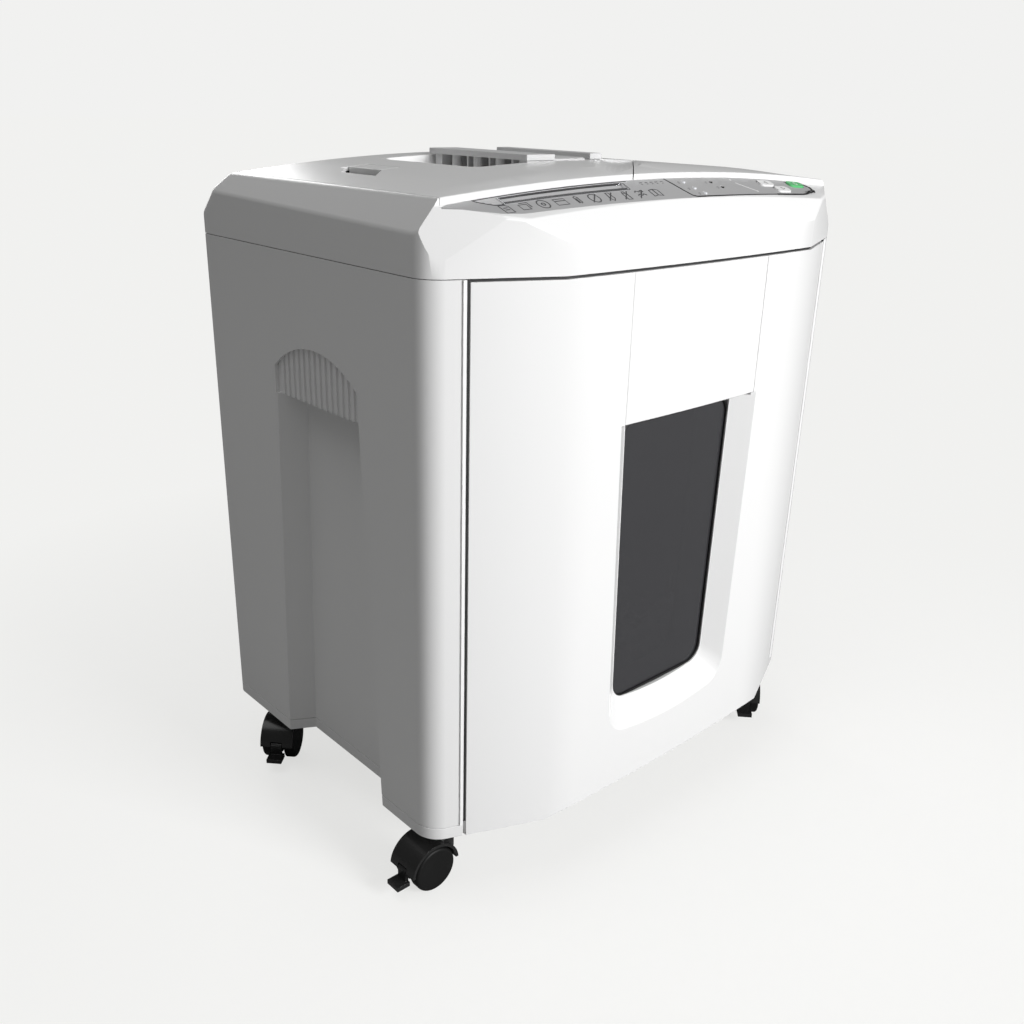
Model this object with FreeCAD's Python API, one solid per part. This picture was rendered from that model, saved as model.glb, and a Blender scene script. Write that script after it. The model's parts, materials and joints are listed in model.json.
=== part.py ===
"""Office paper shredder with a pull-out bin, an automatic-feed lid and four casters.

Units are millimetres. +X is to the right seen from the front, +Y is to the rear, +Z is up.
The origin is on the floor, under the middle of the overall box.
Each sub-part is one node and is written to parts/NODE.step.
"""
import FreeCAD
import Part

import math
import os

V = FreeCAD.Vector

# ---------------------------------------------------------------- driving dimensions
WIDTH = 460.0               # cabinet across the sides
REAR_Y = 171.0              # rear face, measured from the origin
FRONT_Y = -167.0            # ends of the door's middle facet
FRONT_BOW = 4.0             # how far the middle facet bows out between its ends
FACET_HALF = 141.5          # half width of the door's middle facet
DOOR_HALF = 201.7           # half width of the whole door
DOOR_SETBACK = 26.2         # how far the door's side facets fall back
BASE_Z = 54.0               # underside of the cabinet, carried on the casters
SEAM_Z = 484.0              # joint between the cabinet and the head
CORNER_R = 22.0             # front corner posts
REAR_CORNER_R = 12.0
WALL = 3.0                  # moulded panels
SEAM_GAP = 0.6              # hairline between two fixed mouldings
DOOR_GAP = 2.2              # shadow gap all round the door
MOVE_GAP = 0.8              # gap round the lid
RIM_H = 10.0                # height of the base moulding's visible rim

# head shape
SIDE_CREASE_FRONT_Z = 511.0  # start of the side bevel at the front corner
SIDE_CREASE_REAR_Z = 517.0   # and at the rear
TOP_EDGE_Z = 532.0           # side edge of the crowned top
TOP_EDGE_INSET = 13.0        # how far that edge is inside the side face
LIP_Y = -124.0               # front edge of the crowned top
LIP_RISE = 10.5              # crown height at the front edge
CROWN_RISE = 15.0            # crown height over the rest of the top
CROWN_START_Y = -96.0        # where the full crown starts
FRONT_CREASE_Z = 508.0       # start of the front bevel
PANEL_FRONT_Y = -152.0       # top of the front bevel, where the control strip starts
PANEL_FRONT_EDGE_Z = 520.5   # control surface at its front corners
PANEL_FRONT_RISE = 4.5       # and how much it rises to the middle
PANEL_REAR_EDGE_Z = 530.0    # control surface at the lip, at its ends
PANEL_REAR_RISE = 8.8
REAR_TOP_Y = 134.0           # rear edge of the crowned top, at the sides
REAR_BEVEL_Z = 497.0         # lower edge of the rear bevel
HEAD_WALL = 3.0
SIDE_CREASE_R = 6.0          # rounds of the head's creases
REAR_CREASE_R = 6.0
TOP_EDGE_R = 4.0
FRONT_CREASE_R = 6.0
FACET_CREASE = 31.2          # length of the front crease on each slanting facet
PANEL_EDGE_R = 3.0
LIP_R = 1.5

# automatic-feed lid
LID_LEFT_X = -213.0
LID_RIGHT_X = 129.0
LID_SEAM_X = -36.0           # where the slanting right edge meets the lip
LID_SEAM_END_Y = 24.0        # where that edge turns straight back
LID_REAR_Z = 523.0           # lower edge of the lid on the rear bevel
LID_OPEN_DEG = 75.0
TROUGH_R = 60.0              # finger trough beside the slanting edge
TROUGH_DEPTH = 3.0
TROUGH_OFFSET = 12.0

# grip dish in the lid and the bridge across it
DISH_LEFT_X = -135.0
DISH_RIGHT_X = 58.0
DISH_FRONT_Y = -40.0
DISH_REAR_Y = 91.0
DISH_FLOOR_Z = 530.0
DISH_WALL = 2.2
BRIDGE_LEFT_X = -56.0
BRIDGE_RIGHT_X = 34.0
BRIDGE_FRONT_Y = -33.0
BRIDGE_REAR_Y = 89.0
BRIDGE_TOP_Z = 551.5
BRIDGE_PLATE = 4.5
BRIDGE_RAIL = 30.0           # width of the left rail of the bridge
BRIDGE_RIGHT_RAIL = 14.0

# latch in the lid
LATCH_LEFT_X = -155.5
LATCH_RIGHT_X = -137.6
LATCH_FRONT_Y = 20.0
LATCH_REAR_Y = 62.0
LATCH_TRAVEL = 7.0
RECESS_LEFT_X = -177.0
RECESS_FRONT_Y = -4.0

# side grips
GRIP_FRONT_Y = -51.0
GRIP_REAR_Y = 62.6
GRIP_TOP_Z = 415.0
GRIP_SPRING_Z = 394.0        # where the arch meets its straight sides
GRIP_LIP_Z = 372.0           # lower edge of the ribbed panel
GRIP_RIB_COUNT = 14
GRIP_RIB_PITCH = 7.4
GRIP_RIB_DEPTH = 1.6
GRIP_PANEL_DEPTH = 3.2
CHANNEL_FOOT_FRONT_Y = -69.0
CHANNEL_FOOT_REAR_Y = 77.2
CHANNEL_DEPTH = 20.0
CHANNEL_SLOPE = 14.0         # run of the channel's slanting rear wall

# door, window and bin
DOOR_T = 6.0
CENTRE_HALF = 78.6           # half width of the door's upper centre panel
CENTRE_FOOT_Z = 372.0        # lower edge of that panel
WINDOW_TOP_Z = 370.0
WINDOW_FOOT_Z = 125.0
WINDOW_HALF_TOP = 64.5
WINDOW_HALF_FOOT = 58.0
WINDOW_R = 16.0
RECESS_HALF_FOOT = 70.0      # the bevelled recess round the window
RECESS_FOOT_Z = 109.0
RECESS_R = 24.0
WINDOW_DEPTH = 10.0
PANE_T = 2.0
TUB_HALF = 196.0
TUB_REAR_Y = 150.0
TUB_TOP_Z = 388.0
TUB_T = 2.5
BIN_TRAVEL = 260.0
FLOOR_TOP_Z = 64.0           # inside floor of the cabinet

# inner deck, cutters and drive
DECK_Z = 400.0
DECK_T = 4.0
CUTTER_Z = 448.0
CUTTER_Y = -95.0             # middle of the two cutter shafts
CUTTER_SPACING = 36.0
CUTTER_R = 19.0
CUTTER_CORE_R = 14.0
CUTTER_LEFT_X = -186.0
CUTTER_PITCH = 8.0
CUTTER_COUNT = 37
DISC_T = 3.6
JOURNAL_R = 7.0
BEARING_GAP = 0.05
SIDE_PLATE_T = 4.0
GEAR_MODULE = 1.5
CUTTER_TEETH = 24
PINION_TEETH = 12
WHEEL_TEETH = 48
GEAR_W = 9.0
GEAR_SLACK = 0.35            # half of the backlash at the pitch line
MOTOR_R = 33.0
MOTOR_LEN = 104.0
ROLLER_R = 12.0
TRAY_FLOOR_Z = 492.0
TRAY_T = 2.5

# control strip
PANEL_T = 2.5
PANEL_CLEAR = 0.3
SLOT_LEFT_X = -170.0
SLOT_RIGHT_X = -52.0
SLOT_Y = -131.0
SLOT_W = 7.5
BUTTON_TRAVEL = 1.2
KEY_GAP = 0.4                # gap round each key cap
STEM_KEY_R = 3.0             # plunger under each key
# keys in the order reverse, forward, power: x, y, half width, half depth, height above the strip
BUTTONS = [(117.0, -132.5, 9.0, 3.7, 1.2), (129.0, -141.5, 9.0, 3.7, 1.2), (160.0, -132.0, 10.0, 4.0, 1.4)]
LAMP_R = 1.7
LAMPS = [(14.7, -129.8), (18.5, -137.7), (23.7, -144.3), (46.5, -130.6), (53.1, -137.4)]
BOARD_TOP_Z = 511.0

# casters
CASTER_X = 203.0
CASTER_FRONT_Y = -110.0
CASTER_REAR_Y = 128.0
WHEEL_R = 19.0
WHEEL_W = 9.0
CASTER_TRAIL = 16.0
HOOD_HALF = 5.5
STEM_R = 5.0

# ---- values that follow from the ones above, and small parts
HINGE_X = (-150.0, 66.0)
HINGE_Y = 143.5
HINGE_Z = 522.8
KNUCKLE_R = 3.4
KNUCKLE_W = 22.0
FIXED_W = 8.0
PIN_R = 1.6
BRIDGE_RIBS = 6
LEDGE_H = 7.0
REAR_PANEL_HALF = 205.0
INLET_X = 165.0
INLET_Z = 110.0
INLET_R = 9.0
RUNNER_X = 150.0
GRIP_BLOCK_X = WIDTH / 2 - CHANNEL_DEPTH - WALL - 1.0
CUTTER_RIGHT_X = CUTTER_LEFT_X + CUTTER_PITCH * CUTTER_COUNT + 4.0
SHAFT_YS = (CUTTER_Y - CUTTER_SPACING / 2, CUTTER_Y + CUTTER_SPACING / 2)
GEAR_X = CUTTER_RIGHT_X + SIDE_PLATE_T + 1.0
WHEEL_X = GEAR_X + GEAR_W + 2.0
COMPOUND_Y = SHAFT_YS[1] + GEAR_MODULE * (CUTTER_TEETH + PINION_TEETH) / 2
MOTOR_Y = COMPOUND_Y + GEAR_MODULE * (PINION_TEETH + WHEEL_TEETH) / 2
BRACKET_X = WHEEL_X + GEAR_W + 2.0
FEED_TEETH = 28
FEED_Y = -66.0
FEED_RISE = math.sqrt((GEAR_MODULE * (CUTTER_TEETH + FEED_TEETH) / 2) ** 2 - (FEED_Y - SHAFT_YS[1]) ** 2)
FEED_Z = CUTTER_Z + FEED_RISE
BEARING_R = 10.0
TIE_R = 4.0
STUB_R = 4.0
MOTOR_FACE_X = WHEEL_X - 6.0
TRAY_BOX = (-206.0, 112.0, -112.0, 120.0)
FEED_SLOT_Y = CUTTER_Y
ROLLER_XS = (-130.0, -50.0, 30.0)
ROLLER_W = 24.0
FEED_SHAFT_R = 4.0
PRESSER_Z = 523.0
CHUTE_WALL = 0.9
CHUTE_FOOT_Z = 487.0
CHUTE_FOOT_Y = -119.0
AXLE_R = 2.5
HOOD_R = WHEEL_R + 4.0
HOOD_GAP = 1.2
WHEEL_GAP = 1.5
BRAKE_HALF = 5.0
BRAKE_PIVOT_X = -CASTER_TRAIL - WHEEL_R - 2.0
BRAKE_PIVOT_Z = WHEEL_R + 4.0
BRAKE_REACH = 11.0
SCREW_HEAD_R = 3.4
SCREW_HEAD_T = 2.2
SCREW_PLACES = [(x, z) for x in (-190.0, -63.0, 63.0, 190.0) for z in (80.0, 470.0)]
TOP_HALF = WIDTH / 2 - TOP_EDGE_INSET
PANEL_HALF = 190.0
PANEL_ROWS = ((PANEL_FRONT_Y, PANEL_FRONT_EDGE_Z, PANEL_FRONT_RISE),
              (LIP_Y, PANEL_REAR_EDGE_Z, PANEL_REAR_RISE))
TIE_PLACES = [(CUTTER_Y - 38, CUTTER_Z - 22), (CUTTER_Y + 38, CUTTER_Z - 22), (CUTTER_Y - 38, CUTTER_Z + 20),
              (CUTTER_Y + 38, CUTTER_Z + 20)]
BRAKE_PIN_R = 1.5

# ---------------------------------------------------------------- small helpers
def save(name, shape):
    """Write one node, after a check that it is sound."""
    if shape.isNull() or not shape.isValid() or shape.Volume <= 0:
        print("CHECK", name, "valid", shape.isValid(), "volume", round(shape.Volume, 1))
    shape.exportStep("parts/" + name + ".step")
    box = shape.BoundBox
    print("%-24s solids %2d  x %7.1f %7.1f  y %7.1f %7.1f  z %6.1f %6.1f" % (
        name, len(shape.Solids), box.XMin, box.XMax, box.YMin, box.YMax, box.ZMin, box.ZMax))


def box(x0, x1, y0, y1, z0, z1):
    return Part.makeBox(x1 - x0, y1 - y0, z1 - z0, V(x0, y0, z0))


def rod(radius, start, end):
    """A cylinder from one point to another."""
    start = V(*start)
    end = V(*end)
    return Part.makeCylinder(radius, (end - start).Length, start, end - start)


def fuse(shapes):
    result = shapes[0]
    if len(shapes) > 1:
        result = result.fuse(list(shapes[1:]))
    return result.removeSplitter()


def group(shapes):
    return Part.makeCompound([solid for shape in shapes for solid in shape.Solids])


def prism(points, z0, z1):
    """A straight prism over a closed outline of (x, y) points."""
    corners = [V(x, y, z0) for x, y in points]
    face = Part.Face(Part.makePolygon(corners + corners[:1]))
    return face.extrude(V(0, 0, z1 - z0))


def rounded(points, radius):
    """An XY outline with each corner rounded, as a wire at z = 0."""
    count = len(points)
    edges = []
    starts = []
    ends = []
    mids = []
    for index in range(count):
        here = V(points[index][0], points[index][1], 0)
        before = V(points[index - 1][0], points[index - 1][1], 0)
        after = V(points[(index + 1) % count][0], points[(index + 1) % count][1], 0)
        to_before = (before - here).normalize()
        to_after = (after - here).normalize()
        half = to_before.getAngle(to_after) / 2
        reach = radius / math.tan(half)
        bisector = (to_before + to_after).normalize()
        starts.append(here + to_before * reach)
        ends.append(here + to_after * reach)
        mids.append(here + bisector * (radius / math.sin(half) - radius))
    for index in range(count):
        edges.append(Part.Arc(starts[index], mids[index], ends[index]).toShape())
        edges.append(Part.LineSegment(ends[index], starts[(index + 1) % count]).toShape())
    return Part.Wire(edges)


def rounded_prism(points, radius, z0, z1):
    wire = rounded(points, radius)
    wire.translate(V(0, 0, z0))
    return Part.Face(wire).extrude(V(0, 0, z1 - z0))


def half_space(point, normal, size=900.0):
    """A big block on the side of a plane that its normal points to."""
    normal = V(*normal).normalize()
    block = Part.makeBox(size, size, size, V(-size / 2, -size / 2, 0))
    block.Placement = FreeCAD.Placement(V(*point), FreeCAD.Rotation(V(0, 0, 1), normal))
    return block


def mirror_x(shape):
    return shape.mirror(V(0, 0, 0), V(1, 0, 0))


def fillet_edges(shape, radius, keep):
    """Round the edges that the test picks out, or leave the shape when none fit."""
    edges = [edge for edge in shape.Edges if keep(edge)]
    return shape.makeFillet(radius, edges) if edges else shape


# ---------------------------------------------------------------- plan outline
def facet_y(x):
    """Depth of the slanting door facet's line at a distance from the middle."""
    slope = DOOR_SETBACK / (DOOR_HALF - FACET_HALF)
    return FRONT_Y + (abs(x) - FACET_HALF) * slope


def plan_wire(inset, z):
    """The cabinet's outline, moved inwards: facets at the front, rounded corners."""
    side = WIDTH / 2 - inset
    rear = REAR_Y - inset
    slope = math.atan2(DOOR_SETBACK, DOOR_HALF - FACET_HALF)
    shift = inset / math.cos(slope)
    corner_y = facet_y(WIDTH / 2) + shift - inset * math.tan(slope)
    knee_x = FACET_HALF - inset * math.tan(slope / 2)
    front = FRONT_Y + inset
    radius = max(CORNER_R - inset, 2.0)
    half = (math.pi / 2 + slope) / 2
    reach = radius / math.tan(half)
    side_tan = V(side, corner_y + reach, z)
    out = V(math.cos(slope), math.sin(slope), 0)
    corner = V(side, corner_y, z)
    face_tan = corner - out * reach
    inward = ((V(side, corner_y + 1, z) - corner).normalize() + (out * -1)).normalize()
    mid = corner + inward * (radius / math.sin(half) - radius)
    rear_r = max(REAR_CORNER_R - inset, 1.5)
    rear_mid = V(side - rear_r * (1 - math.sqrt(0.5)), rear - rear_r * (1 - math.sqrt(0.5)), z)

    def flip(point):
        return V(-point.x, point.y, point.z)

    knee = V(knee_x, front, z)
    bow = V(0, front - FRONT_BOW, z)
    rear_side = V(side, rear - rear_r, z)
    rear_back = V(side - rear_r, rear, z)
    edges = [
        Part.Arc(flip(knee), bow, knee).toShape(),
        Part.LineSegment(knee, face_tan).toShape(),
        Part.Arc(face_tan, mid, side_tan).toShape(),
        Part.LineSegment(side_tan, rear_side).toShape(),
        Part.Arc(rear_side, rear_mid, rear_back).toShape(),
        Part.LineSegment(rear_back, flip(rear_back)).toShape(),
        Part.Arc(flip(rear_back), flip(rear_mid), flip(rear_side)).toShape(),
        Part.LineSegment(flip(rear_side), flip(side_tan)).toShape(),
        Part.Arc(flip(side_tan), flip(mid), flip(face_tan)).toShape(),
        Part.LineSegment(flip(face_tan), flip(knee)).toShape(),
    ]
    return Part.Wire(edges)


def plan_solid(inset, z0, z1):
    return Part.Face(plan_wire(inset, z0)).extrude(V(0, 0, z1 - z0))


# ---------------------------------------------------------------- head surfaces
def crown_arc(y, edge_z, rise, half):
    """An arc across the head: edge_z at the half width, rise higher in the middle."""
    radius = (half * half + rise * rise) / (2 * rise)
    centre_z = edge_z + rise - radius
    end_x = WIDTH / 2 + 20
    end_z = centre_z + math.sqrt(radius * radius - end_x * end_x)
    return Part.Arc(V(-end_x, y, end_z), V(0, y, edge_z + rise), V(end_x, y, end_z)).toShape()


def above(arc_a, arc_b, drop):
    """Everything above the ruled surface between two arcs, lowered by drop."""
    face = Part.makeRuledSurface(arc_a, arc_b)
    face.translate(V(0, 0, -drop))
    return face.extrude(V(0, 0, 90))


def extended_arc(y, arc_rows):
    """Arc values carried on in a straight line past the first two rows."""
    (y_a, z_a, rise_a), (y_b, z_b, rise_b) = arc_rows
    share = (y - y_a) / (y_b - y_a)
    return z_a + (z_b - z_a) * share, rise_a + (rise_b - rise_a) * share


def above_crown(drop, front=LIP_Y):
    edge_z, rise = extended_arc(front, (
        (LIP_Y, TOP_EDGE_Z, LIP_RISE), (CROWN_START_Y, TOP_EDGE_Z, CROWN_RISE)))
    first = crown_arc(front, edge_z, rise, TOP_HALF)
    middle = crown_arc(CROWN_START_Y, TOP_EDGE_Z, CROWN_RISE, TOP_HALF)
    last = crown_arc(REAR_Y + 20, TOP_EDGE_Z, CROWN_RISE, TOP_HALF)
    return above(first, middle, drop).fuse(above(middle, last, drop))


def above_panel(drop, rear=LIP_Y):
    front_y = FRONT_Y - FRONT_BOW - 6
    front_z, front_rise = extended_arc(front_y, PANEL_ROWS)
    rear_z, rear_rise = extended_arc(rear, PANEL_ROWS)
    front = crown_arc(front_y, front_z, max(front_rise, 1.0), PANEL_HALF)
    back = crown_arc(rear, rear_z, rear_rise, PANEL_HALF)
    return above(front, back, drop)


def lid_seam_direction():
    return V(LID_RIGHT_X - LID_SEAM_X, LID_SEAM_END_Y - LIP_Y, 0).normalize()


def trough(inset):
    """The shallow finger trough beside the lid's slanting edge."""
    along = lid_seam_direction()
    left = V(-along.y, along.x, 0)
    centre_z = TOP_EDGE_Z + CROWN_RISE + TROUGH_R - TROUGH_DEPTH
    foot = V(LID_SEAM_X, LIP_Y, centre_z) + left * TROUGH_OFFSET
    return Part.makeCylinder(TROUGH_R + inset, 150, foot - along * 20, along)


def side_bevel(inset):
    """Planes that bevel the left side, given as half-spaces to remove."""
    crease_front = V(-WIDTH / 2 + inset, -125, SIDE_CREASE_FRONT_Z)
    crease_rear = V(-WIDTH / 2 + inset, 112, SIDE_CREASE_REAR_Z)
    top = V(-TOP_HALF + inset, 0, TOP_EDGE_Z)
    normal = (crease_rear - crease_front).cross(top - crease_front)
    if normal.x > 0:
        normal = normal * -1
    return half_space(crease_front, normal)


def corner_bevel(inset):
    """The slanting facet on the front left corner of the head."""
    a = V(-WIDTH / 2, -120.6, 512.8)
    b = V(-208.3, -137.8, 502.1)
    c = V(-179.9, -150.2, 521.0)
    normal = (b - a).cross(c - a).normalize()
    if normal.y > 0:
        normal = normal * -1
    return half_space(a - normal * inset, normal)


def head_solid(inset):
    """The head's full shape, moved inwards by a wall."""
    body = plan_solid(inset, SEAM_Z - (1 if inset else 0), SEAM_Z + 90)
    tools = [above_crown(inset, LIP_Y + inset), above_panel(inset, LIP_Y + inset)]
    front_top = PANEL_FRONT_EDGE_Z + PANEL_FRONT_RISE - 1
    rise = front_top - FRONT_CREASE_Z
    run = PANEL_FRONT_Y - FRONT_Y
    normal = V(0, -rise, run)
    tools.append(half_space(V(0, FRONT_Y, FRONT_CREASE_Z) - V(normal).normalize() * inset, normal))
    rear_normal = V(0, TOP_EDGE_Z - REAR_BEVEL_Z, REAR_Y - REAR_TOP_Y)
    rear_point = V(0, REAR_Y, REAR_BEVEL_Z) - V(rear_normal).normalize() * inset
    tools.append(half_space(rear_point, rear_normal))
    for bevel in (side_bevel(inset), corner_bevel(inset)):
        tools.append(bevel)
        tools.append(mirror_x(bevel))
    for tool in tools:
        body = body.cut(tool)
    body = body.removeSplitter()
    if inset == 0:
        body = soften_head(body)
    return body.cut(trough(inset)).removeSplitter()


def soften_head(body):
    """Rounds the creases of the head one after another; a round that fails is left out."""
    steps = (
        (SIDE_CREASE_R, lambda edge, b: 240 < edge.Length < 275
         and b.ZMin > SIDE_CREASE_FRONT_Z - 6 and b.ZMax < SIDE_CREASE_REAR_Z + 3),
        (REAR_CREASE_R, lambda edge, b: edge.Length > 400 and b.YMin > REAR_Y - 6
         and abs(b.ZMin - REAR_BEVEL_Z) < 0.6 and abs(b.ZMax - REAR_BEVEL_Z) < 0.6),
        (TOP_EDGE_R, lambda edge, b: 200 < edge.Length < 240
         and b.ZMin > TOP_EDGE_Z - 2 and b.ZMax < TOP_EDGE_Z + 2),
        (FRONT_CREASE_R, lambda edge, b: (abs(edge.Length - 2 * FACET_HALF) < 2 and b.ZMin > FRONT_CREASE_Z - 8)
         or abs(edge.Length - FACET_CREASE) < 0.3),
        (PANEL_EDGE_R, lambda edge, b: 325 < edge.Length < 345 and b.ZMin > PANEL_FRONT_EDGE_Z - 5),
        (LIP_R, lambda edge, b: 420 < edge.Length < 433 and b.YMax < LIP_Y + 4 and b.ZMin > TOP_EDGE_Z - 2),
    )
    for radius, keep in steps:
        edges = [edge for edge in body.Edges if keep(edge, edge.BoundBox)]
        if not edges:
            continue
        try:
            softer = body.makeFillet(radius, edges)
        except Part.OCCError:
            continue
        if softer.isValid() and len(softer.Solids) == 1 and softer.Volume > 0.97 * body.Volume:
            body = softer.Solids[0]
    return body


def lid_outline(gap):
    """The lid's plan; gap moves every edge outwards. It runs off the rear."""
    along = lid_seam_direction()
    shift = gap / along.y
    front = LIP_Y + 0.4 - gap * 0.5
    seam_x = LID_SEAM_X + shift + (front - LIP_Y) * along.x / along.y
    turn_y = LID_SEAM_END_Y + (gap - shift) * along.y / along.x
    return [(LID_LEFT_X - gap, front), (seam_x, front), (LID_RIGHT_X + gap, turn_y),
            (LID_RIGHT_X + gap, REAR_Y + 30), (LID_LEFT_X - gap, REAR_Y + 30)]


# ---------------------------------------------------------------- head cover, lid and strip
def lid_zone(gap):
    """The space the lid takes: its plan, down to its lower edge on the rear bevel."""
    return prism(lid_outline(gap), LID_REAR_Z - gap, SEAM_Z + 90)


def strip_outline(gap):
    """Plan of the grey control strip, with its pointed left end and blunt right end."""
    points = [(-214.0, LIP_Y - 2.5), (-197.0, LIP_Y - 13.5), (-181.0, LIP_Y - 21.5), (-165.0, LIP_Y - 25.0),
              (150.0, LIP_Y - 25.0), (172.0, LIP_Y - 20.0), (179.0, LIP_Y - 11.0), (172.0, LIP_Y - 0.6),
              (-208.0, LIP_Y - 0.6)]
    if gap == 0:
        return points
    wire = Part.makePolygon([V(x, y, 0) for x, y in points + points[:1]])
    grown = wire.makeOffset2D(gap, 2)
    return [(vertex.X, vertex.Y) for vertex in grown.OrderedVertexes]


def build_head(outer, inner):
    """The one-piece head cover: rim, control shelf and fixed right corner."""
    shell = outer.cut(inner)
    shell = shell.cut(lid_zone(MOVE_GAP))
    strip = prism(strip_outline(PANEL_CLEAR), SEAM_Z, SEAM_Z + 90)
    pocket = strip.common(above_panel(PANEL_T + 0.2, LIP_Y - 0.2))
    shelf = outer.common(box(-200, 180, PANEL_FRONT_Y - 6, LIP_Y - 0.8, SEAM_Z, SEAM_Z + 90))
    shelf = shelf.common(above_panel(PANEL_T + 3.0, LIP_Y)).cut(above_panel(PANEL_T + 0.2, LIP_Y))
    shell = shell.cut(pocket).fuse(shelf)
    half = SLOT_W / 2 + 1.0
    slot = box(SLOT_LEFT_X - 1, SLOT_RIGHT_X + 1, SLOT_Y - half, SLOT_Y + half, SEAM_Z, SEAM_Z + 90)
    shell = shell.cut(slot)
    for x, y, _, _, _ in BUTTONS:
        shell = shell.cut(Part.makeCylinder(STEM_KEY_R + 0.5, 90, V(x, y, SEAM_Z)))
    for x, y in LAMPS:
        shell = shell.cut(Part.makeCylinder(LAMP_R + 0.05, 90, V(x, y, SEAM_Z)))
    solids = sorted(shell.Solids, key=lambda solid: -solid.Volume)
    return solids[0]


def key_prism(x, y, half_x, half_y, gap):
    """A tall prism over a key's rounded plan, grown by a gap."""
    wide = half_x + gap
    deep = half_y + gap
    points = [(x - wide, y - deep), (x + wide, y - deep), (x + wide, y + deep), (x - wide, y + deep)]
    return rounded_prism(points, deep - 0.4, SEAM_Z, SEAM_Z + 90)


def surface_z(shape, x, y):
    """Height of the highest point of a shape over one place."""
    probe = Part.makeLine(V(x, y, SEAM_Z), V(x, y, SEAM_Z + 90))
    section = probe.common(shape)
    return section.BoundBox.ZMax


def build_strip(outer):
    """The grey control strip, let into the sloping shelf."""
    blank = prism(strip_outline(0), SEAM_Z, SEAM_Z + 90).common(outer)
    strip = blank.common(above_panel(PANEL_T, LIP_Y - 0.2))
    slot = box(SLOT_LEFT_X, SLOT_RIGHT_X, SLOT_Y - SLOT_W / 2, SLOT_Y + SLOT_W / 2, SEAM_Z, SEAM_Z + 90)
    strip = strip.cut(slot)
    for x, y, half_x, half_y, _ in BUTTONS:
        strip = strip.cut(key_prism(x, y, half_x, half_y, KEY_GAP))
    for x, y in LAMPS:
        strip = strip.cut(Part.makeCylinder(LAMP_R + 0.05, 90, V(x, y, SEAM_Z)))
    return max(strip.Solids, key=lambda solid: solid.Volume)


def build_lamps(outer):
    lamps = []
    for x, y in LAMPS:
        top = surface_z(outer, x, y)
        stem = Part.makeCylinder(LAMP_R, 4.5, V(x, y, top - 4.2))
        lamps.append(stem)
    return group(lamps)


def build_button(outer, index):
    """A key cap that follows the slope of the strip, with a plunger below."""
    x, y, half_x, half_y, proud = BUTTONS[index]
    cap = key_prism(x, y, half_x, half_y, 0.0)
    cap = cap.common(above_panel(1.2, LIP_Y - 0.2)).cut(above_panel(-proud, LIP_Y - 0.2))
    stem_top = surface_z(outer, x, y) - 0.6
    stem = Part.makeCylinder(STEM_KEY_R, stem_top - BOARD_TOP_Z - BUTTON_TRAVEL - 0.6,
                             V(x, y, BOARD_TOP_Z + BUTTON_TRAVEL + 0.6))
    return cap.fuse(stem).removeSplitter()


BOARD_TOP_Z = 511.0


def build_lid(outer, inner):
    """The lid's shell with a folded inner rib round its edge."""
    skin = outer.cut(inner).common(lid_zone(0))
    rib_zone = lid_zone(0).cut(prism(lid_outline(-5.0), SEAM_Z, SEAM_Z + 90))
    rib_in = prism(lid_outline(-2.5), SEAM_Z, SEAM_Z + 90)
    rib = inner.common(rib_zone).common(rib_in).common(above_crown(HEAD_WALL + 6.0, LIP_Y))
    rib = rib.common(box(-WIDTH, WIDTH, LIP_Y, REAR_TOP_Y - 14, SEAM_Z, SEAM_Z + 90))
    lid = skin.fuse(rib)
    dish = dish_solid(0.0, 0.0)
    lid = lid.cut(dish)
    lid = lid.cut(latch_recess(0))
    lid = lid.cut(box(LATCH_LEFT_X - LATCH_TRAVEL - 0.5, LATCH_RIGHT_X + 0.6, LATCH_FRONT_Y - 0.6,
                      LATCH_REAR_Y + 0.6, SEAM_Z, SEAM_Z + 90))
    for x in HINGE_X:
        leaf = box(x - KNUCKLE_W / 2, x + KNUCKLE_W / 2, HINGE_Y - 12, HINGE_Y, HINGE_Z - 1, HINGE_Z + 12)
        leaf = leaf.common(outer).cut(inner)
        knuckle = rod(KNUCKLE_R, (x - KNUCKLE_W / 2, HINGE_Y, HINGE_Z), (x + KNUCKLE_W / 2, HINGE_Y, HINGE_Z))
        lid = lid.fuse(leaf).fuse(knuckle)
    for x in HINGE_X:
        for side in (-1, 1):
            centre = x + side * (KNUCKLE_W / 2 + FIXED_W / 2 + 0.4)
            lid = lid.cut(rod(KNUCKLE_R + 0.6, (centre - FIXED_W / 2 - 0.3, HINGE_Y, HINGE_Z),
                              (centre + FIXED_W / 2 + 0.3, HINGE_Y, HINGE_Z)))
        lid = lid.cut(rod(PIN_R + BEARING_GAP, (x - 40, HINGE_Y, HINGE_Z), (x + 40, HINGE_Y, HINGE_Z)))
    return max(lid.removeSplitter().Solids, key=lambda solid: solid.Volume)


def hinge_ears(outer, inner):
    """Fixed knuckles on the head, one each side of each lid knuckle."""
    ears = []
    for x in HINGE_X:
        for side in (-1, 1):
            centre = x + side * (KNUCKLE_W / 2 + FIXED_W / 2 + 0.4)
            barrel = rod(KNUCKLE_R, (centre - FIXED_W / 2, HINGE_Y, HINGE_Z),
                         (centre + FIXED_W / 2, HINGE_Y, HINGE_Z))
            root = box(centre - FIXED_W / 2, centre + FIXED_W / 2, HINGE_Y - 1, HINGE_Y + 9,
                       HINGE_Z - 9, HINGE_Z)
            ears.append(barrel.fuse(root.common(outer)))
    return ears


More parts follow.
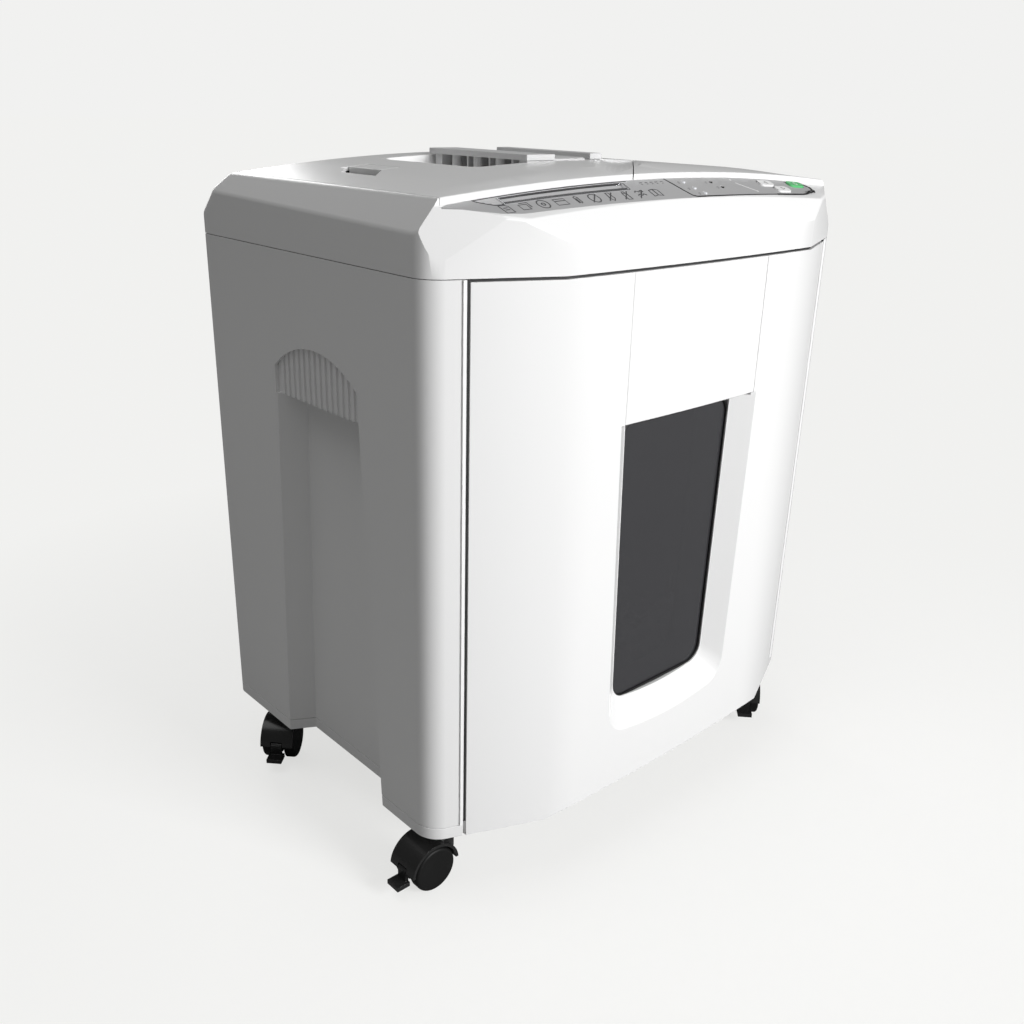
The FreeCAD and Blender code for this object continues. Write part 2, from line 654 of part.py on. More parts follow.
def add_hinge(shell, outer, inner):
    for x in HINGE_X:
        shell = shell.cut(rod(KNUCKLE_R + 0.7, (x - KNUCKLE_W / 2 - 0.4, HINGE_Y, HINGE_Z),
                              (x + KNUCKLE_W / 2 + 0.4, HINGE_Y, HINGE_Z)))
    for ear in hinge_ears(outer, inner):
        shell = shell.fuse(ear)
    for x in HINGE_X:
        shell = shell.cut(rod(PIN_R + BEARING_GAP, (x - 40, HINGE_Y, HINGE_Z), (x + 40, HINGE_Y, HINGE_Z)))
    return max(shell.removeSplitter().Solids, key=lambda solid: solid.Volume)


def build_hinge_pins():
    pins = []
    for x in HINGE_X:
        reach = KNUCKLE_W / 2 + FIXED_W + 0.4
        pins.append(rod(PIN_R, (x - reach, HINGE_Y, HINGE_Z), (x + reach, HINGE_Y, HINGE_Z)))
    return group(pins)


def dish_points(grow):
    slant = 40.0
    return [(DISH_LEFT_X - grow, DISH_FRONT_Y - grow), (DISH_RIGHT_X - slant + grow * 0.4, DISH_FRONT_Y - grow),
            (DISH_RIGHT_X + grow, DISH_FRONT_Y + slant - grow * 0.4), (DISH_RIGHT_X + grow, DISH_REAR_Y + grow),
            (DISH_LEFT_X - grow, DISH_REAR_Y + grow)]


def dish_solid(grow, lower):
    """The dish's hollow: wide at the crown, narrower at its floor, with a long scoop on the left."""
    top_z = BRIDGE_TOP_Z + 6
    floor_z = DISH_FLOOR_Z - lower
    top = rounded(dish_points(grow), 14.0 + grow)
    top.translate(V(0, 0, top_z))
    low = [(DISH_LEFT_X + 44 - grow, DISH_FRONT_Y + 5 - grow), (DISH_RIGHT_X - 42 + grow * 0.4, DISH_FRONT_Y + 5 - grow),
           (DISH_RIGHT_X - 6 + grow, DISH_FRONT_Y + 41 - grow * 0.4), (DISH_RIGHT_X - 6 + grow, DISH_REAR_Y - 5 + grow),
           (DISH_LEFT_X + 44 - grow, DISH_REAR_Y - 5 + grow)]
    foot = rounded(low, 12.0 + grow)
    foot.translate(V(0, 0, floor_z))
    return Part.makeLoft([foot, top], True, True)


def build_dish(outer):
    """The bowl let into the lid, its rim flush with the crown."""
    bowl = dish_solid(0.0, 0.0).common(outer)
    hollow = dish_solid(-DISH_WALL, -DISH_WALL)
    bowl = bowl.cut(hollow)
    bowl = bowl.cut(box(LATCH_LEFT_X - 5, LATCH_RIGHT_X + 8, LATCH_FRONT_Y - 0.6, LATCH_REAR_Y + 0.6,
                        TOP_EDGE_Z + 2, SEAM_Z + 90))
    return max(bowl.Solids, key=lambda solid: solid.Volume)


def build_bridge():
    """The raised bridge over the dish: two rails, end walls, and ribs and posts under the left rail."""
    floor = DISH_FLOOR_Z + DISH_WALL
    top = BRIDGE_TOP_Z
    under = top - BRIDGE_PLATE
    end_t = 9.0
    inset = 7.0
    skirt = under - 3.0
    rails = [
        box(BRIDGE_LEFT_X, BRIDGE_LEFT_X + BRIDGE_RAIL, BRIDGE_FRONT_Y, BRIDGE_REAR_Y, under, top),
        box(BRIDGE_RIGHT_X - BRIDGE_RIGHT_RAIL, BRIDGE_RIGHT_X, BRIDGE_FRONT_Y + 6, BRIDGE_REAR_Y, under, top),
        box(BRIDGE_LEFT_X + BRIDGE_RAIL - 1, BRIDGE_RIGHT_X - BRIDGE_RIGHT_RAIL + 1, BRIDGE_FRONT_Y + 13,
            BRIDGE_REAR_Y - 5, skirt, under + 1),
    ]
    lower = []
    wall_y = (BRIDGE_FRONT_Y + 2, BRIDGE_REAR_Y - end_t - 6)
    for y in wall_y:
        lower.append(box(BRIDGE_LEFT_X + 2, BRIDGE_RIGHT_X - 24, y, y + end_t, floor, under + 1))
    for x in (BRIDGE_LEFT_X + BRIDGE_RAIL - 4, BRIDGE_RIGHT_X - 27):
        lower.append(box(x, x + 3, wall_y[0] + 1, wall_y[1] + 1, floor, under + 1))
    pitch = (wall_y[1] - wall_y[0] - end_t) / (BRIDGE_RIBS + 1)
    for index in range(BRIDGE_RIBS):
        y = wall_y[0] + end_t + pitch * (index + 1)
        lower.append(box(BRIDGE_LEFT_X + inset, BRIDGE_LEFT_X + BRIDGE_RAIL - 3, y - 1.2, y + 1.2, floor, under + 1))
        if index % 2:
            lower.append(Part.makeCylinder(4.0, under + 1 - floor, V(BRIDGE_LEFT_X + inset, y, floor)))
    return fuse(rails + lower)


def latch_recess(extra):
    """A slanting finger recess beside the latch."""
    slant = LATCH_FRONT_Y - RECESS_FRONT_Y - 2
    points = [(RECESS_LEFT_X, RECESS_FRONT_Y), (LATCH_LEFT_X - 0.4, RECESS_FRONT_Y + slant),
              (LATCH_LEFT_X - 0.4, LATCH_REAR_Y + 0.6), (RECESS_LEFT_X, LATCH_REAR_Y - slant + 0.6)]
    return prism(points, SEAM_Z, SEAM_Z + 90)


def build_recess_cup(outer, inner):
    """The dark cup that closes the finger recess under the lid."""
    block = box(RECESS_LEFT_X - 3, LATCH_RIGHT_X - 3, RECESS_FRONT_Y - 3, LATCH_REAR_Y + 3,
                TOP_EDGE_Z - 11, TOP_EDGE_Z + 30)
    block = block.common(inner)
    pocket = box(RECESS_LEFT_X - 1.2, LATCH_RIGHT_X + 9, RECESS_FRONT_Y - 1.2, LATCH_REAR_Y + 1.2,
                 TOP_EDGE_Z - 9, TOP_EDGE_Z + 30)
    return max(block.cut(pocket).Solids, key=lambda solid: solid.Volume)


def build_latch(outer, inner):
    """The sliding catch: a flush cap, a thumb wall and a tongue that runs under the lid."""
    cap = box(LATCH_LEFT_X, LATCH_RIGHT_X, LATCH_FRONT_Y, LATCH_REAR_Y, SEAM_Z, SEAM_Z + 90)
    cap = cap.common(outer).cut(inner)
    wall = box(LATCH_LEFT_X, LATCH_LEFT_X + 2.5, LATCH_FRONT_Y, LATCH_REAR_Y, TOP_EDGE_Z - 6, SEAM_Z + 90)
    wall = wall.common(inner)
    return fuse([cap, wall])


# ---------------------------------------------------------------- cabinet
def grip_outline(depth_face):
    """Arch outline of the ribbed grip panel on the left side, as a face on X = depth_face."""
    y0, y1 = GRIP_FRONT_Y, GRIP_REAR_Y
    corner = 9.0
    edges = [
        Part.LineSegment(V(depth_face, y0, GRIP_LIP_Z), V(depth_face, y0, GRIP_SPRING_Z)).toShape(),
        Part.Arc(V(depth_face, y0, GRIP_SPRING_Z), V(depth_face, (y0 + y1) / 2, GRIP_TOP_Z),
                 V(depth_face, y1, GRIP_SPRING_Z)).toShape(),
        Part.LineSegment(V(depth_face, y1, GRIP_SPRING_Z), V(depth_face, y1, GRIP_LIP_Z)).toShape(),
        Part.LineSegment(V(depth_face, y1, GRIP_LIP_Z), V(depth_face, y0, GRIP_LIP_Z)).toShape(),
    ]
    return Part.Face(Part.Wire(edges)), corner


def channel_outer(depth, grow):
    """The channel below the grip, cut into the side: a wedge that widens to the foot."""
    x_out = -WIDTH / 2 - 5 if grow == 0 else -WIDTH / 2 + 0.0
    x_in = -WIDTH / 2 + depth

    def section(z, front, rear):
        points = [V(x_out, front - grow, z), V(x_in, front + 2 - grow, z),
                  V(x_in, rear - CHANNEL_SLOPE + grow, z), V(x_out, rear + grow, z)]
        return Part.makePolygon(points + points[:1])

    top = section(GRIP_LIP_Z + 18 + grow, GRIP_FRONT_Y, GRIP_REAR_Y)
    foot = section(BASE_Z - 1 if grow == 0 else BASE_Z, CHANNEL_FOOT_FRONT_Y, CHANNEL_FOOT_REAR_Y)
    return Part.makeLoft([foot, top], True, True)


def build_side(left=True):
    """A side panel with its corner post, hand grip and channel."""
    body = plan_solid(0, BASE_Z + RIM_H + SEAM_GAP, SEAM_Z - SEAM_GAP)
    body = body.cut(plan_solid(WALL, BASE_Z, SEAM_Z + 1))
    body = body.common(box(-WIDTH, -REAR_PANEL_HALF - SEAM_GAP, -WIDTH, WIDTH, 0, SEAM_Z + 9))
    body = body.cut(box(-DOOR_HALF - DOOR_GAP, 0, -WIDTH, -80, 0, SEAM_Z + 9))
    post_return = box(-DOOR_HALF - DOOR_GAP - WALL, -DOOR_HALF - DOOR_GAP, facet_y(DOOR_HALF) + 1.0, -96,
                      BASE_Z + RIM_H + SEAM_GAP, SEAM_Z - SEAM_GAP)
    body = body.fuse(post_return)
    block = box(-WIDTH / 2 + 1, -WIDTH / 2 + CHANNEL_DEPTH + WALL, GRIP_FRONT_Y - 22, GRIP_REAR_Y + 18,
                BASE_Z + RIM_H + SEAM_GAP, GRIP_TOP_Z + 6)
    liner = channel_outer(CHANNEL_DEPTH + WALL, WALL).common(block)
    pocket_top = box(-WIDTH / 2 + 1, -WIDTH / 2 + CHANNEL_DEPTH + WALL, GRIP_FRONT_Y - WALL, GRIP_REAR_Y + WALL,
                     GRIP_LIP_Z, GRIP_LIP_Z + 18 + WALL)
    liner = liner.fuse(pocket_top)
    backing, _ = grip_outline(-WIDTH / 2 + 0.5)
    backing = backing.extrude(V(GRIP_PANEL_DEPTH + 2.2, 0, 0))
    body = body.fuse(liner).fuse(backing)
    body = body.cut(channel_outer(CHANNEL_DEPTH, 0).common(
        box(-WIDTH, 0, -WIDTH, WIDTH, 0, GRIP_LIP_Z)))
    finger = box(-WIDTH / 2 + GRIP_PANEL_DEPTH + 2.6, -WIDTH / 2 + CHANNEL_DEPTH, GRIP_FRONT_Y + 2, GRIP_REAR_Y - 2,
                 GRIP_LIP_Z - 1, GRIP_LIP_Z + 18)
    body = body.cut(finger)
    for y0, y1 in ((-92.0, -74.0), (84.0, 150.0)):
        body = body.fuse(box(-WIDTH / 2 + WALL - 0.5, -WIDTH / 2 + 14, y0, y1, DECK_Z - LEDGE_H, DECK_Z))
    face, _ = grip_outline(-WIDTH / 2 - 1)
    sunk = face.extrude(V(1 + GRIP_PANEL_DEPTH, 0, 0))
    ribs = []
    first = (GRIP_FRONT_Y + GRIP_REAR_Y) / 2 - GRIP_RIB_PITCH * (GRIP_RIB_COUNT - 1) / 2
    for index in range(GRIP_RIB_COUNT):
        y = first + GRIP_RIB_PITCH * index
        ribs.append(box(-WIDTH / 2 + GRIP_PANEL_DEPTH - GRIP_RIB_DEPTH, -WIDTH / 2 + GRIP_PANEL_DEPTH + 0.4,
                        y - 1.7, y + 1.7, GRIP_LIP_Z, GRIP_TOP_Z + 5))
    ribs = fuse(ribs).common(sunk.fuse(backing))
    body = body.cut(sunk).fuse(ribs)
    shape = max(body.removeSplitter().Solids, key=lambda solid: solid.Volume)
    return shape if left else mirror_x(shape)


def build_rear():
    """The rear panel between the side panels, wrapped round both rear corners."""
    body = plan_solid(0, BASE_Z + RIM_H + SEAM_GAP, SEAM_Z - SEAM_GAP)
    body = body.cut(plan_solid(WALL, BASE_Z, SEAM_Z + 1))
    body = body.common(box(-REAR_PANEL_HALF, REAR_PANEL_HALF, REAR_Y - 30, REAR_Y + 9, 0, SEAM_Z + 9))
    for row in range(6):
        z = 420.0 + row * 8.0
        for x in (-70.0, 70.0):
            body = body.cut(box(x - 42, x + 42, REAR_Y - 9, REAR_Y + 9, z, z + 3.5))
    body = body.cut(rod(INLET_R + 0.3, (INLET_X, REAR_Y - 9, INLET_Z), (INLET_X, REAR_Y + 9, INLET_Z)))
    for x, z in SCREW_PLACES:
        body = body.cut(rod(SCREW_HEAD_R + 0.1, (x, REAR_Y + 1, z), (x, REAR_Y - SCREW_HEAD_T, z)))
    return max(body.removeSplitter().Solids, key=lambda solid: solid.Volume)


def build_gland():
    """The rear cable gland: a bush through the rear panel with a flange inside."""
    bush = rod(INLET_R, (INLET_X, REAR_Y - WALL - 4, INLET_Z), (INLET_X, REAR_Y, INLET_Z))
    flange = rod(INLET_R + 3, (INLET_X, REAR_Y - WALL - 6.5, INLET_Z), (INLET_X, REAR_Y - WALL - 0.3, INLET_Z))
    hole = rod(4.0, (INLET_X, REAR_Y - 30, INLET_Z), (INLET_X, REAR_Y + 9, INLET_Z))
    return bush.fuse(flange).cut(hole).removeSplitter()


def channel_notch():
    """The foot of both side channels, where they run out through the base."""
    left = channel_outer(CHANNEL_DEPTH, 0)
    return left.fuse(mirror_x(left))


TUB_FRONT_Y = facet_y(DOOR_HALF) + 16.0
SILL_Y = TUB_FRONT_Y + 1.2


def build_base():
    """The base moulding: a visible rim, an inner floor, a front sill and caster sockets."""
    rim = plan_solid(0, BASE_Z, BASE_Z + RIM_H)
    front_cut = prism([(-DOOR_HALF - DOOR_GAP, -WIDTH), (DOOR_HALF + DOOR_GAP, -WIDTH),
                       (DOOR_HALF + DOOR_GAP, SILL_Y), (-DOOR_HALF - DOOR_GAP, SILL_Y)], 0, SEAM_Z)
    rim = rim.cut(front_cut).cut(channel_notch())
    ledge = plan_solid(WALL + 0.4, BASE_Z + RIM_H, BASE_Z + RIM_H + 5).cut(plan_solid(WALL + 3.0, BASE_Z, SEAM_Z))
    ledge = ledge.cut(box(-DOOR_HALF - DOOR_GAP - 8, DOOR_HALF + DOOR_GAP + 8, -WIDTH, -60, 0, SEAM_Z))
    liner = channel_outer(CHANNEL_DEPTH + WALL + 0.6, WALL + 0.6)
    ledge = ledge.cut(liner).cut(mirror_x(liner))
    ledge = ledge.cut(box(INLET_X - 20, INLET_X + 20, 0, WIDTH, BASE_Z + RIM_H - 1, SEAM_Z))
    base = rim.fuse(ledge)
    for x, y, _ in caster_places():
        base = base.cut(Part.makeCylinder(STEM_R + BEARING_GAP, RIM_H - 1.5, V(x, y, BASE_Z)))
    return max(base.removeSplitter().Solids, key=lambda solid: solid.Volume)


def caster_places():
    """Each caster's stem and the turn of its swivel from trailing left."""
    return [(-CASTER_X, CASTER_FRONT_Y, 0.0), (CASTER_X, CASTER_FRONT_Y, 43.0),
            (-CASTER_X, CASTER_REAR_Y, 43.0), (CASTER_X, CASTER_REAR_Y, 180.0)]


def build_runners():
    """Two guide rails on the floor that the bin slides along."""
    rails = []
    for x in (-RUNNER_X, RUNNER_X):
        rails.append(box(x - 5, x + 5, -120, 140, FLOOR_TOP_Z, FLOOR_TOP_Z + 5))
    return group(rails)


def build_deck():
    """The deck over the bin that carries the cutter unit, with a chute hole under the cutters."""
    deck = plan_solid(WALL + 0.5, DECK_Z, DECK_Z + DECK_T)
    deck = deck.cut(box(-WIDTH, WIDTH, -WIDTH, -132, 0, SEAM_Z))
    deck = deck.cut(box(-GRIP_BLOCK_X - 60, -GRIP_BLOCK_X, GRIP_FRONT_Y - 8, GRIP_REAR_Y + 8, 0, SEAM_Z))
    deck = deck.cut(box(GRIP_BLOCK_X, GRIP_BLOCK_X + 60, GRIP_FRONT_Y - 8, GRIP_REAR_Y + 8, 0, SEAM_Z))
    for side in (-1, 1):
        outer_x = side * (DOOR_HALF + DOOR_GAP - 0.5)
        far_x = side * WIDTH
        deck = deck.cut(box(min(outer_x, far_x), max(outer_x, far_x), -WIDTH, -95, 0, SEAM_Z))
        edge_x = side * (DOOR_HALF - WALL - 3)
        deck = deck.cut(box(min(edge_x, far_x), max(edge_x, far_x), -WIDTH, TUB_FRONT_Y + 1.2, 0, SEAM_Z))
    hole = box(CUTTER_LEFT_X + 2, CUTTER_RIGHT_X - 2, CUTTER_Y - 30, CUTTER_Y + 30, 0, SEAM_Z)
    hem = box(CUTTER_LEFT_X - 1, CUTTER_RIGHT_X + 1, CUTTER_Y - 33, CUTTER_Y + 33, DECK_Z - 8, DECK_Z)
    deck = deck.fuse(hem).cut(hole)
    return max(deck.removeSplitter().Solids, key=lambda solid: solid.Volume)


# ---------------------------------------------------------------- door and bin
def tapered_outline(half_top, half_foot, z_top, z_foot, radius, y):
    """A face in XZ, a little narrower at its foot, with round lower corners and a bowed foot."""
    lean = math.atan2(half_top - half_foot, z_top - z_foot)
    right = half_foot + radius * math.tan(lean)
    drop = 3.0
    a = V(half_top, y, z_top)
    b = V(right, y, z_foot + radius)
    mid = V(right - radius * (1 - math.sqrt(0.5)), y, z_foot + radius * (1 - math.sqrt(0.5)))
    c = V(right - radius, y, z_foot)

    def flip(point):
        return V(-point.x, point.y, point.z)

    edges = [
        Part.LineSegment(flip(a), a).toShape(),
        Part.LineSegment(a, b).toShape(),
        Part.Arc(b, mid, c).toShape(),
        Part.Arc(c, V(0, y, z_foot - drop), flip(c)).toShape(),
        Part.Arc(flip(c), flip(mid), flip(b)).toShape(),
        Part.LineSegment(flip(b), flip(a)).toShape(),
    ]
    return Part.Wire(edges)


def window_recess():
    """The bevelled recess: wide at the door's face, narrower at the pane."""
    deep = FRONT_Y + WINDOW_DEPTH
    proud = FRONT_Y - FRONT_BOW - 4
    spread = (FRONT_Y - proud) / WINDOW_DEPTH
    grow = (CENTRE_HALF - WINDOW_HALF_TOP) * spread
    sink = (WINDOW_FOOT_Z - RECESS_FOOT_Z) * spread
    front = tapered_outline(CENTRE_HALF + grow, RECESS_HALF_FOOT + grow, WINDOW_TOP_Z + 2,
                            RECESS_FOOT_Z - sink, RECESS_R + 3, proud)
    back = tapered_outline(WINDOW_HALF_TOP, WINDOW_HALF_FOOT, WINDOW_TOP_Z + 2, WINDOW_FOOT_Z, WINDOW_R, deep)
    return Part.makeLoft([front, back], True, True)


def door_blank(inset_front, z0, z1):
    blank = plan_solid(inset_front, z0, z1)
    half = DOOR_HALF
    return blank.common(box(-half, half, -WIDTH, -100, z0, z1))


def build_door():
    """The door's main shell: facets, returns, recess walls and the seat for the centre panel."""
    z0 = BASE_Z
    z1 = SEAM_Z - DOOR_GAP
    skin = door_blank(0, z0, z1).cut(plan_solid(WALL, z0 - 1, z1 + 1))
    back_y = TUB_FRONT_Y
    filled = door_blank(0, z0, z1).common(box(-DOOR_HALF, DOOR_HALF, -WIDTH, back_y, z0, z1))
    cavity = plan_solid(WALL, z0 + WALL, z1 - WALL)
    cavity = cavity.common(box(-DOOR_HALF + WALL, DOOR_HALF - WALL, -WIDTH, WIDTH, z0 + WALL, z1 - WALL))
    shell = filled.cut(cavity)
    boss = box(-CENTRE_HALF - 6, CENTRE_HALF + 6, -WIDTH, FRONT_Y + WINDOW_DEPTH + 3,
               RECESS_FOOT_Z - 14, z1).common(door_blank(0, z0, z1))
    ribs = []
    for x in (-185.0, -100.0, 100.0, 185.0):
        rib = box(x - 1.5, x + 1.5, -WIDTH, TUB_FRONT_Y, z0 + WALL - 0.5, TUB_TOP_Z - 8)
        ribs.append(rib.common(door_blank(1.0, z0, z1)))
    door = shell.fuse(boss).fuse(skin).fuse(ribs)
    door = door.cut(window_recess())
    through = Part.Face(tapered_outline(WINDOW_HALF_TOP - 0.6, WINDOW_HALF_FOOT - 0.6, WINDOW_TOP_Z - 1,
                                        WINDOW_FOOT_Z + 0.6, WINDOW_R, FRONT_Y))
    door = door.cut(through.extrude(V(0, 60, 0)))
    upper = box(-CENTRE_HALF, CENTRE_HALF, -WIDTH, FRONT_Y + WINDOW_DEPTH, CENTRE_FOOT_Z - 3, SEAM_Z + 5)
    return max(door.cut(upper).removeSplitter().Solids, key=lambda solid: solid.Volume)


def build_centre_panel():
    """The inset panel above the window, its square lower edge used as the door pull."""
    z1 = SEAM_Z - DOOR_GAP
    half = CENTRE_HALF - SEAM_GAP / 2
    panel = door_blank(0, CENTRE_FOOT_Z, z1)
    panel = panel.common(box(-half, half, -WIDTH, FRONT_Y + WINDOW_DEPTH, CENTRE_FOOT_Z, z1))
    hollow = plan_solid(WALL, CENTRE_FOOT_Z - 1, z1 - WALL)
    hollow = hollow.common(box(-half + WALL, half - WALL, -WIDTH, FRONT_Y + WINDOW_DEPTH - WALL,
                               CENTRE_FOOT_Z - 1, z1 - WALL))
    return max(panel.cut(hollow).removeSplitter().Solids, key=lambda solid: solid.Volume)


def build_pane():
    """The smoked pane behind the recess."""
    face = Part.Face(tapered_outline(WINDOW_HALF_TOP + 3, WINDOW_HALF_FOOT + 3, WINDOW_TOP_Z + 3,
                                     WINDOW_FOOT_Z - 3, WINDOW_R + 2, FRONT_Y + WINDOW_DEPTH + 3.0))
    return face.extrude(V(0, PANE_T, 0))


def build_tub():
    """The waste tub behind the door, with a window hole and two skids."""
    front = TUB_FRONT_Y
    floor = FLOOR_TOP_Z + 6.0
    outer = [(-TUB_HALF, front), (TUB_HALF, front), (TUB_HALF, TUB_REAR_Y), (-TUB_HALF, TUB_REAR_Y)]
    body = rounded_prism(outer, 14.0, floor, TUB_TOP_Z)
    t = TUB_T
    inner = [(-TUB_HALF + t, front + t), (TUB_HALF - t, front + t), (TUB_HALF - t, TUB_REAR_Y - t),
             (-TUB_HALF + t, TUB_REAR_Y - t)]
    body = body.cut(rounded_prism(inner, 12.0, floor + t, TUB_TOP_Z + 1))
    through = Part.Face(tapered_outline(WINDOW_HALF_TOP - 2, WINDOW_HALF_FOOT - 2, WINDOW_TOP_Z - 3,
                                        WINDOW_FOOT_Z + 3, WINDOW_R, front - 5))
    body = body.cut(through.extrude(V(0, 20, 0)))
    for side in (-1, 1):
        x = side * (RUNNER_X - 10.5)
        body = body.fuse(box(x - 5, x + 5, front + 10, TUB_REAR_Y - 10, FLOOR_TOP_Z + 0.3, floor + 0.5))
    rim_out = rounded_prism([(-TUB_HALF - 4, front), (TUB_HALF + 4, front), (TUB_HALF + 4, TUB_REAR_Y + 4),
                             (-TUB_HALF - 4, TUB_REAR_Y + 4)], 14.0, TUB_TOP_Z - 3, TUB_TOP_Z)
    rim_in = rounded_prism(inner, 12.0, TUB_TOP_Z - 9, TUB_TOP_Z + 9)
    return fuse([body, rim_out.cut(rim_in)])


# ---------------------------------------------------------------- cutters and drive
def gear(teeth, x0, width, y, z, bore, phase=0.0):
    """A spur gear about an X axis; its teeth are straight-sided with named slack."""
    pitch_r = GEAR_MODULE * teeth / 2
    tip_r = pitch_r + GEAR_MODULE * 0.9
    root_r = pitch_r - GEAR_MODULE * 1.2
    tooth = math.pi * GEAR_MODULE / 2 - GEAR_SLACK
    points = []
    for index in range(teeth):
        middle = phase + 2 * math.pi * index / teeth
        for radius, share in ((root_r, 1.42), (pitch_r, 1.0), (tip_r, 0.46)):
            half = tooth * share / (2 * radius)
            points.append((radius, middle - half))
        for radius, share in ((tip_r, 0.46), (pitch_r, 1.0), (root_r, 1.42)):
            half = tooth * share / (2 * radius)
            points.append((radius, middle + half))
    corners = [V(x0, y + r * math.cos(a), z + r * math.sin(a)) for r, a in points]
    face = Part.Face(Part.makePolygon(corners + corners[:1]))
    body = face.extrude(V(width, 0, 0))
    return body.cut(rod(bore, (x0 - 1, y, z), (x0 + width + 1, y, z)))


def mesh_phase(direction, teeth, phase, other_teeth):
    """Angle of a tooth on the second of two meshing gears, whose centre lies in the given direction."""
    return direction + math.pi - teeth / other_teeth * (phase - direction) - math.pi / other_teeth


REAR_CUTTER_PHASE = mesh_phase(0.0, CUTTER_TEETH, 0.0, CUTTER_TEETH)


def build_cutter(which):
    """A cutter shaft: core, discs with hooked slots, journals and a gear seat."""
    y = SHAFT_YS[which]
    z = CUTTER_Z
    shift = CUTTER_PITCH / 2 * which
    x_end = GEAR_X + GEAR_W
    core = rod(CUTTER_CORE_R, (CUTTER_LEFT_X + 0.6, y, z), (CUTTER_RIGHT_X - 0.6, y, z))
    discs = []
    for index in range(CUTTER_COUNT):
        x = CUTTER_LEFT_X + 2.0 + CUTTER_PITCH * index + shift
        discs.append(rod(CUTTER_R, (x, y, z), (x + DISC_T, y, z)))
    body = core.fuse(discs)
    for index in range(3):
        angle = 2 * math.pi * index / 3
        groove = box(CUTTER_LEFT_X - 5, CUTTER_RIGHT_X + 5, y + CUTTER_CORE_R + 0.6, y + CUTTER_R + 3, z - 1.6, z + 2.4)
        groove.rotate(V(0, y, z), V(1, 0, 0), math.degrees(angle))
        body = body.cut(groove)
    shaft = rod(JOURNAL_R, (CUTTER_LEFT_X - SIDE_PLATE_T - 1.5, y, z), (x_end, y, z))
    return body.fuse(shaft).removeSplitter()


def build_side_plate(right):
    """A steel end plate with two bearing holes and a foot on the deck."""
    x0 = CUTTER_RIGHT_X if right else CUTTER_LEFT_X - SIDE_PLATE_T
    plate = box(x0, x0 + SIDE_PLATE_T, CUTTER_Y - 44, CUTTER_Y + 44, DECK_Z + DECK_T + 0.0, CUTTER_Z + 26)
    for y in SHAFT_YS:
        plate = plate.cut(rod(BEARING_R + 0.0, (x0 - 1, y, CUTTER_Z), (x0 + SIDE_PLATE_T + 1, y, CUTTER_Z)))
    for y, z in TIE_PLACES:
        plate = plate.cut(rod(TIE_R, (x0 - 1, y, z), (x0 + SIDE_PLATE_T + 1, y, z)))
    return plate


def build_bearings():
    """Four bushes that carry the cutter shafts in the end plates."""
    bushes = []
    for x0 in (CUTTER_LEFT_X - SIDE_PLATE_T, CUTTER_RIGHT_X):
        for y in SHAFT_YS:
            ring = rod(BEARING_R, (x0, y, CUTTER_Z), (x0 + SIDE_PLATE_T, y, CUTTER_Z))
            bushes.append(ring.cut(rod(JOURNAL_R + BEARING_GAP, (x0 - 1, y, CUTTER_Z),
                                       (x0 + SIDE_PLATE_T + 1, y, CUTTER_Z))))
    return group(bushes)


def build_ties():
    """Four tie rods between the end plates."""
    rods = []
    for y, z in TIE_PLACES:
        rods.append(rod(TIE_R, (CUTTER_LEFT_X - SIDE_PLATE_T, y, z), (CUTTER_RIGHT_X + SIDE_PLATE_T, y, z)))
    return group(rods)


def build_stripper(which):
    """A comb with a finger between each pair of discs, hung on its two tie rods."""
    side = -1 if which == 0 else 1
    y = SHAFT_YS[which]
    shift = CUTTER_PITCH / 2 * which
    back_y0 = y + side * (CUTTER_R + 2.0)
    back_y1 = y + side * (CUTTER_R + 4.5)
    back = box(CUTTER_LEFT_X + 0.5, CUTTER_RIGHT_X - 0.5, min(back_y0, back_y1), max(back_y0, back_y1),
               CUTTER_Z - 24, CUTTER_Z + 18)
    fingers = []
    for index in range(CUTTER_COUNT - 1):
        x = CUTTER_LEFT_X + 2.0 + DISC_T + 0.9 + CUTTER_PITCH * index + shift
        y0 = y + side * (CUTTER_CORE_R + 0.8)
        y1 = back_y0 + side * 0.5
        fingers.append(box(x, x + CUTTER_PITCH - DISC_T - 1.8, min(y0, y1), max(y0, y1), CUTTER_Z - 10,
                           CUTTER_Z + 10))
    comb = back.fuse(fingers)
    for tie_y, z in TIE_PLACES:
        comb = comb.cut(rod(TIE_R + BEARING_GAP, (CUTTER_LEFT_X - 1, tie_y, z), (CUTTER_RIGHT_X + 1, tie_y, z)))
    return max(comb.removeSplitter().Solids, key=lambda solid: solid.Volume)


def build_bracket():
    """The outer gear bracket with its spacers, and a stub for the reduction gear."""
    z0 = DECK_Z + DECK_T
    y0 = SHAFT_YS[0] - 5
    y1 = MOTOR_Y + 20
    plate = box(BRACKET_X, BRACKET_X + 3, y0, y1, z0, CUTTER_Z + 36)
    foot = box(BRACKET_X, BRACKET_X + 14, y0, y1, z0, z0 + 3)
    stub = rod(STUB_R, (CUTTER_RIGHT_X + SIDE_PLATE_T + 0.3, COMPOUND_Y, CUTTER_Z), (BRACKET_X + 1, COMPOUND_Y, CUTTER_Z))
    return fuse([plate, foot, stub])


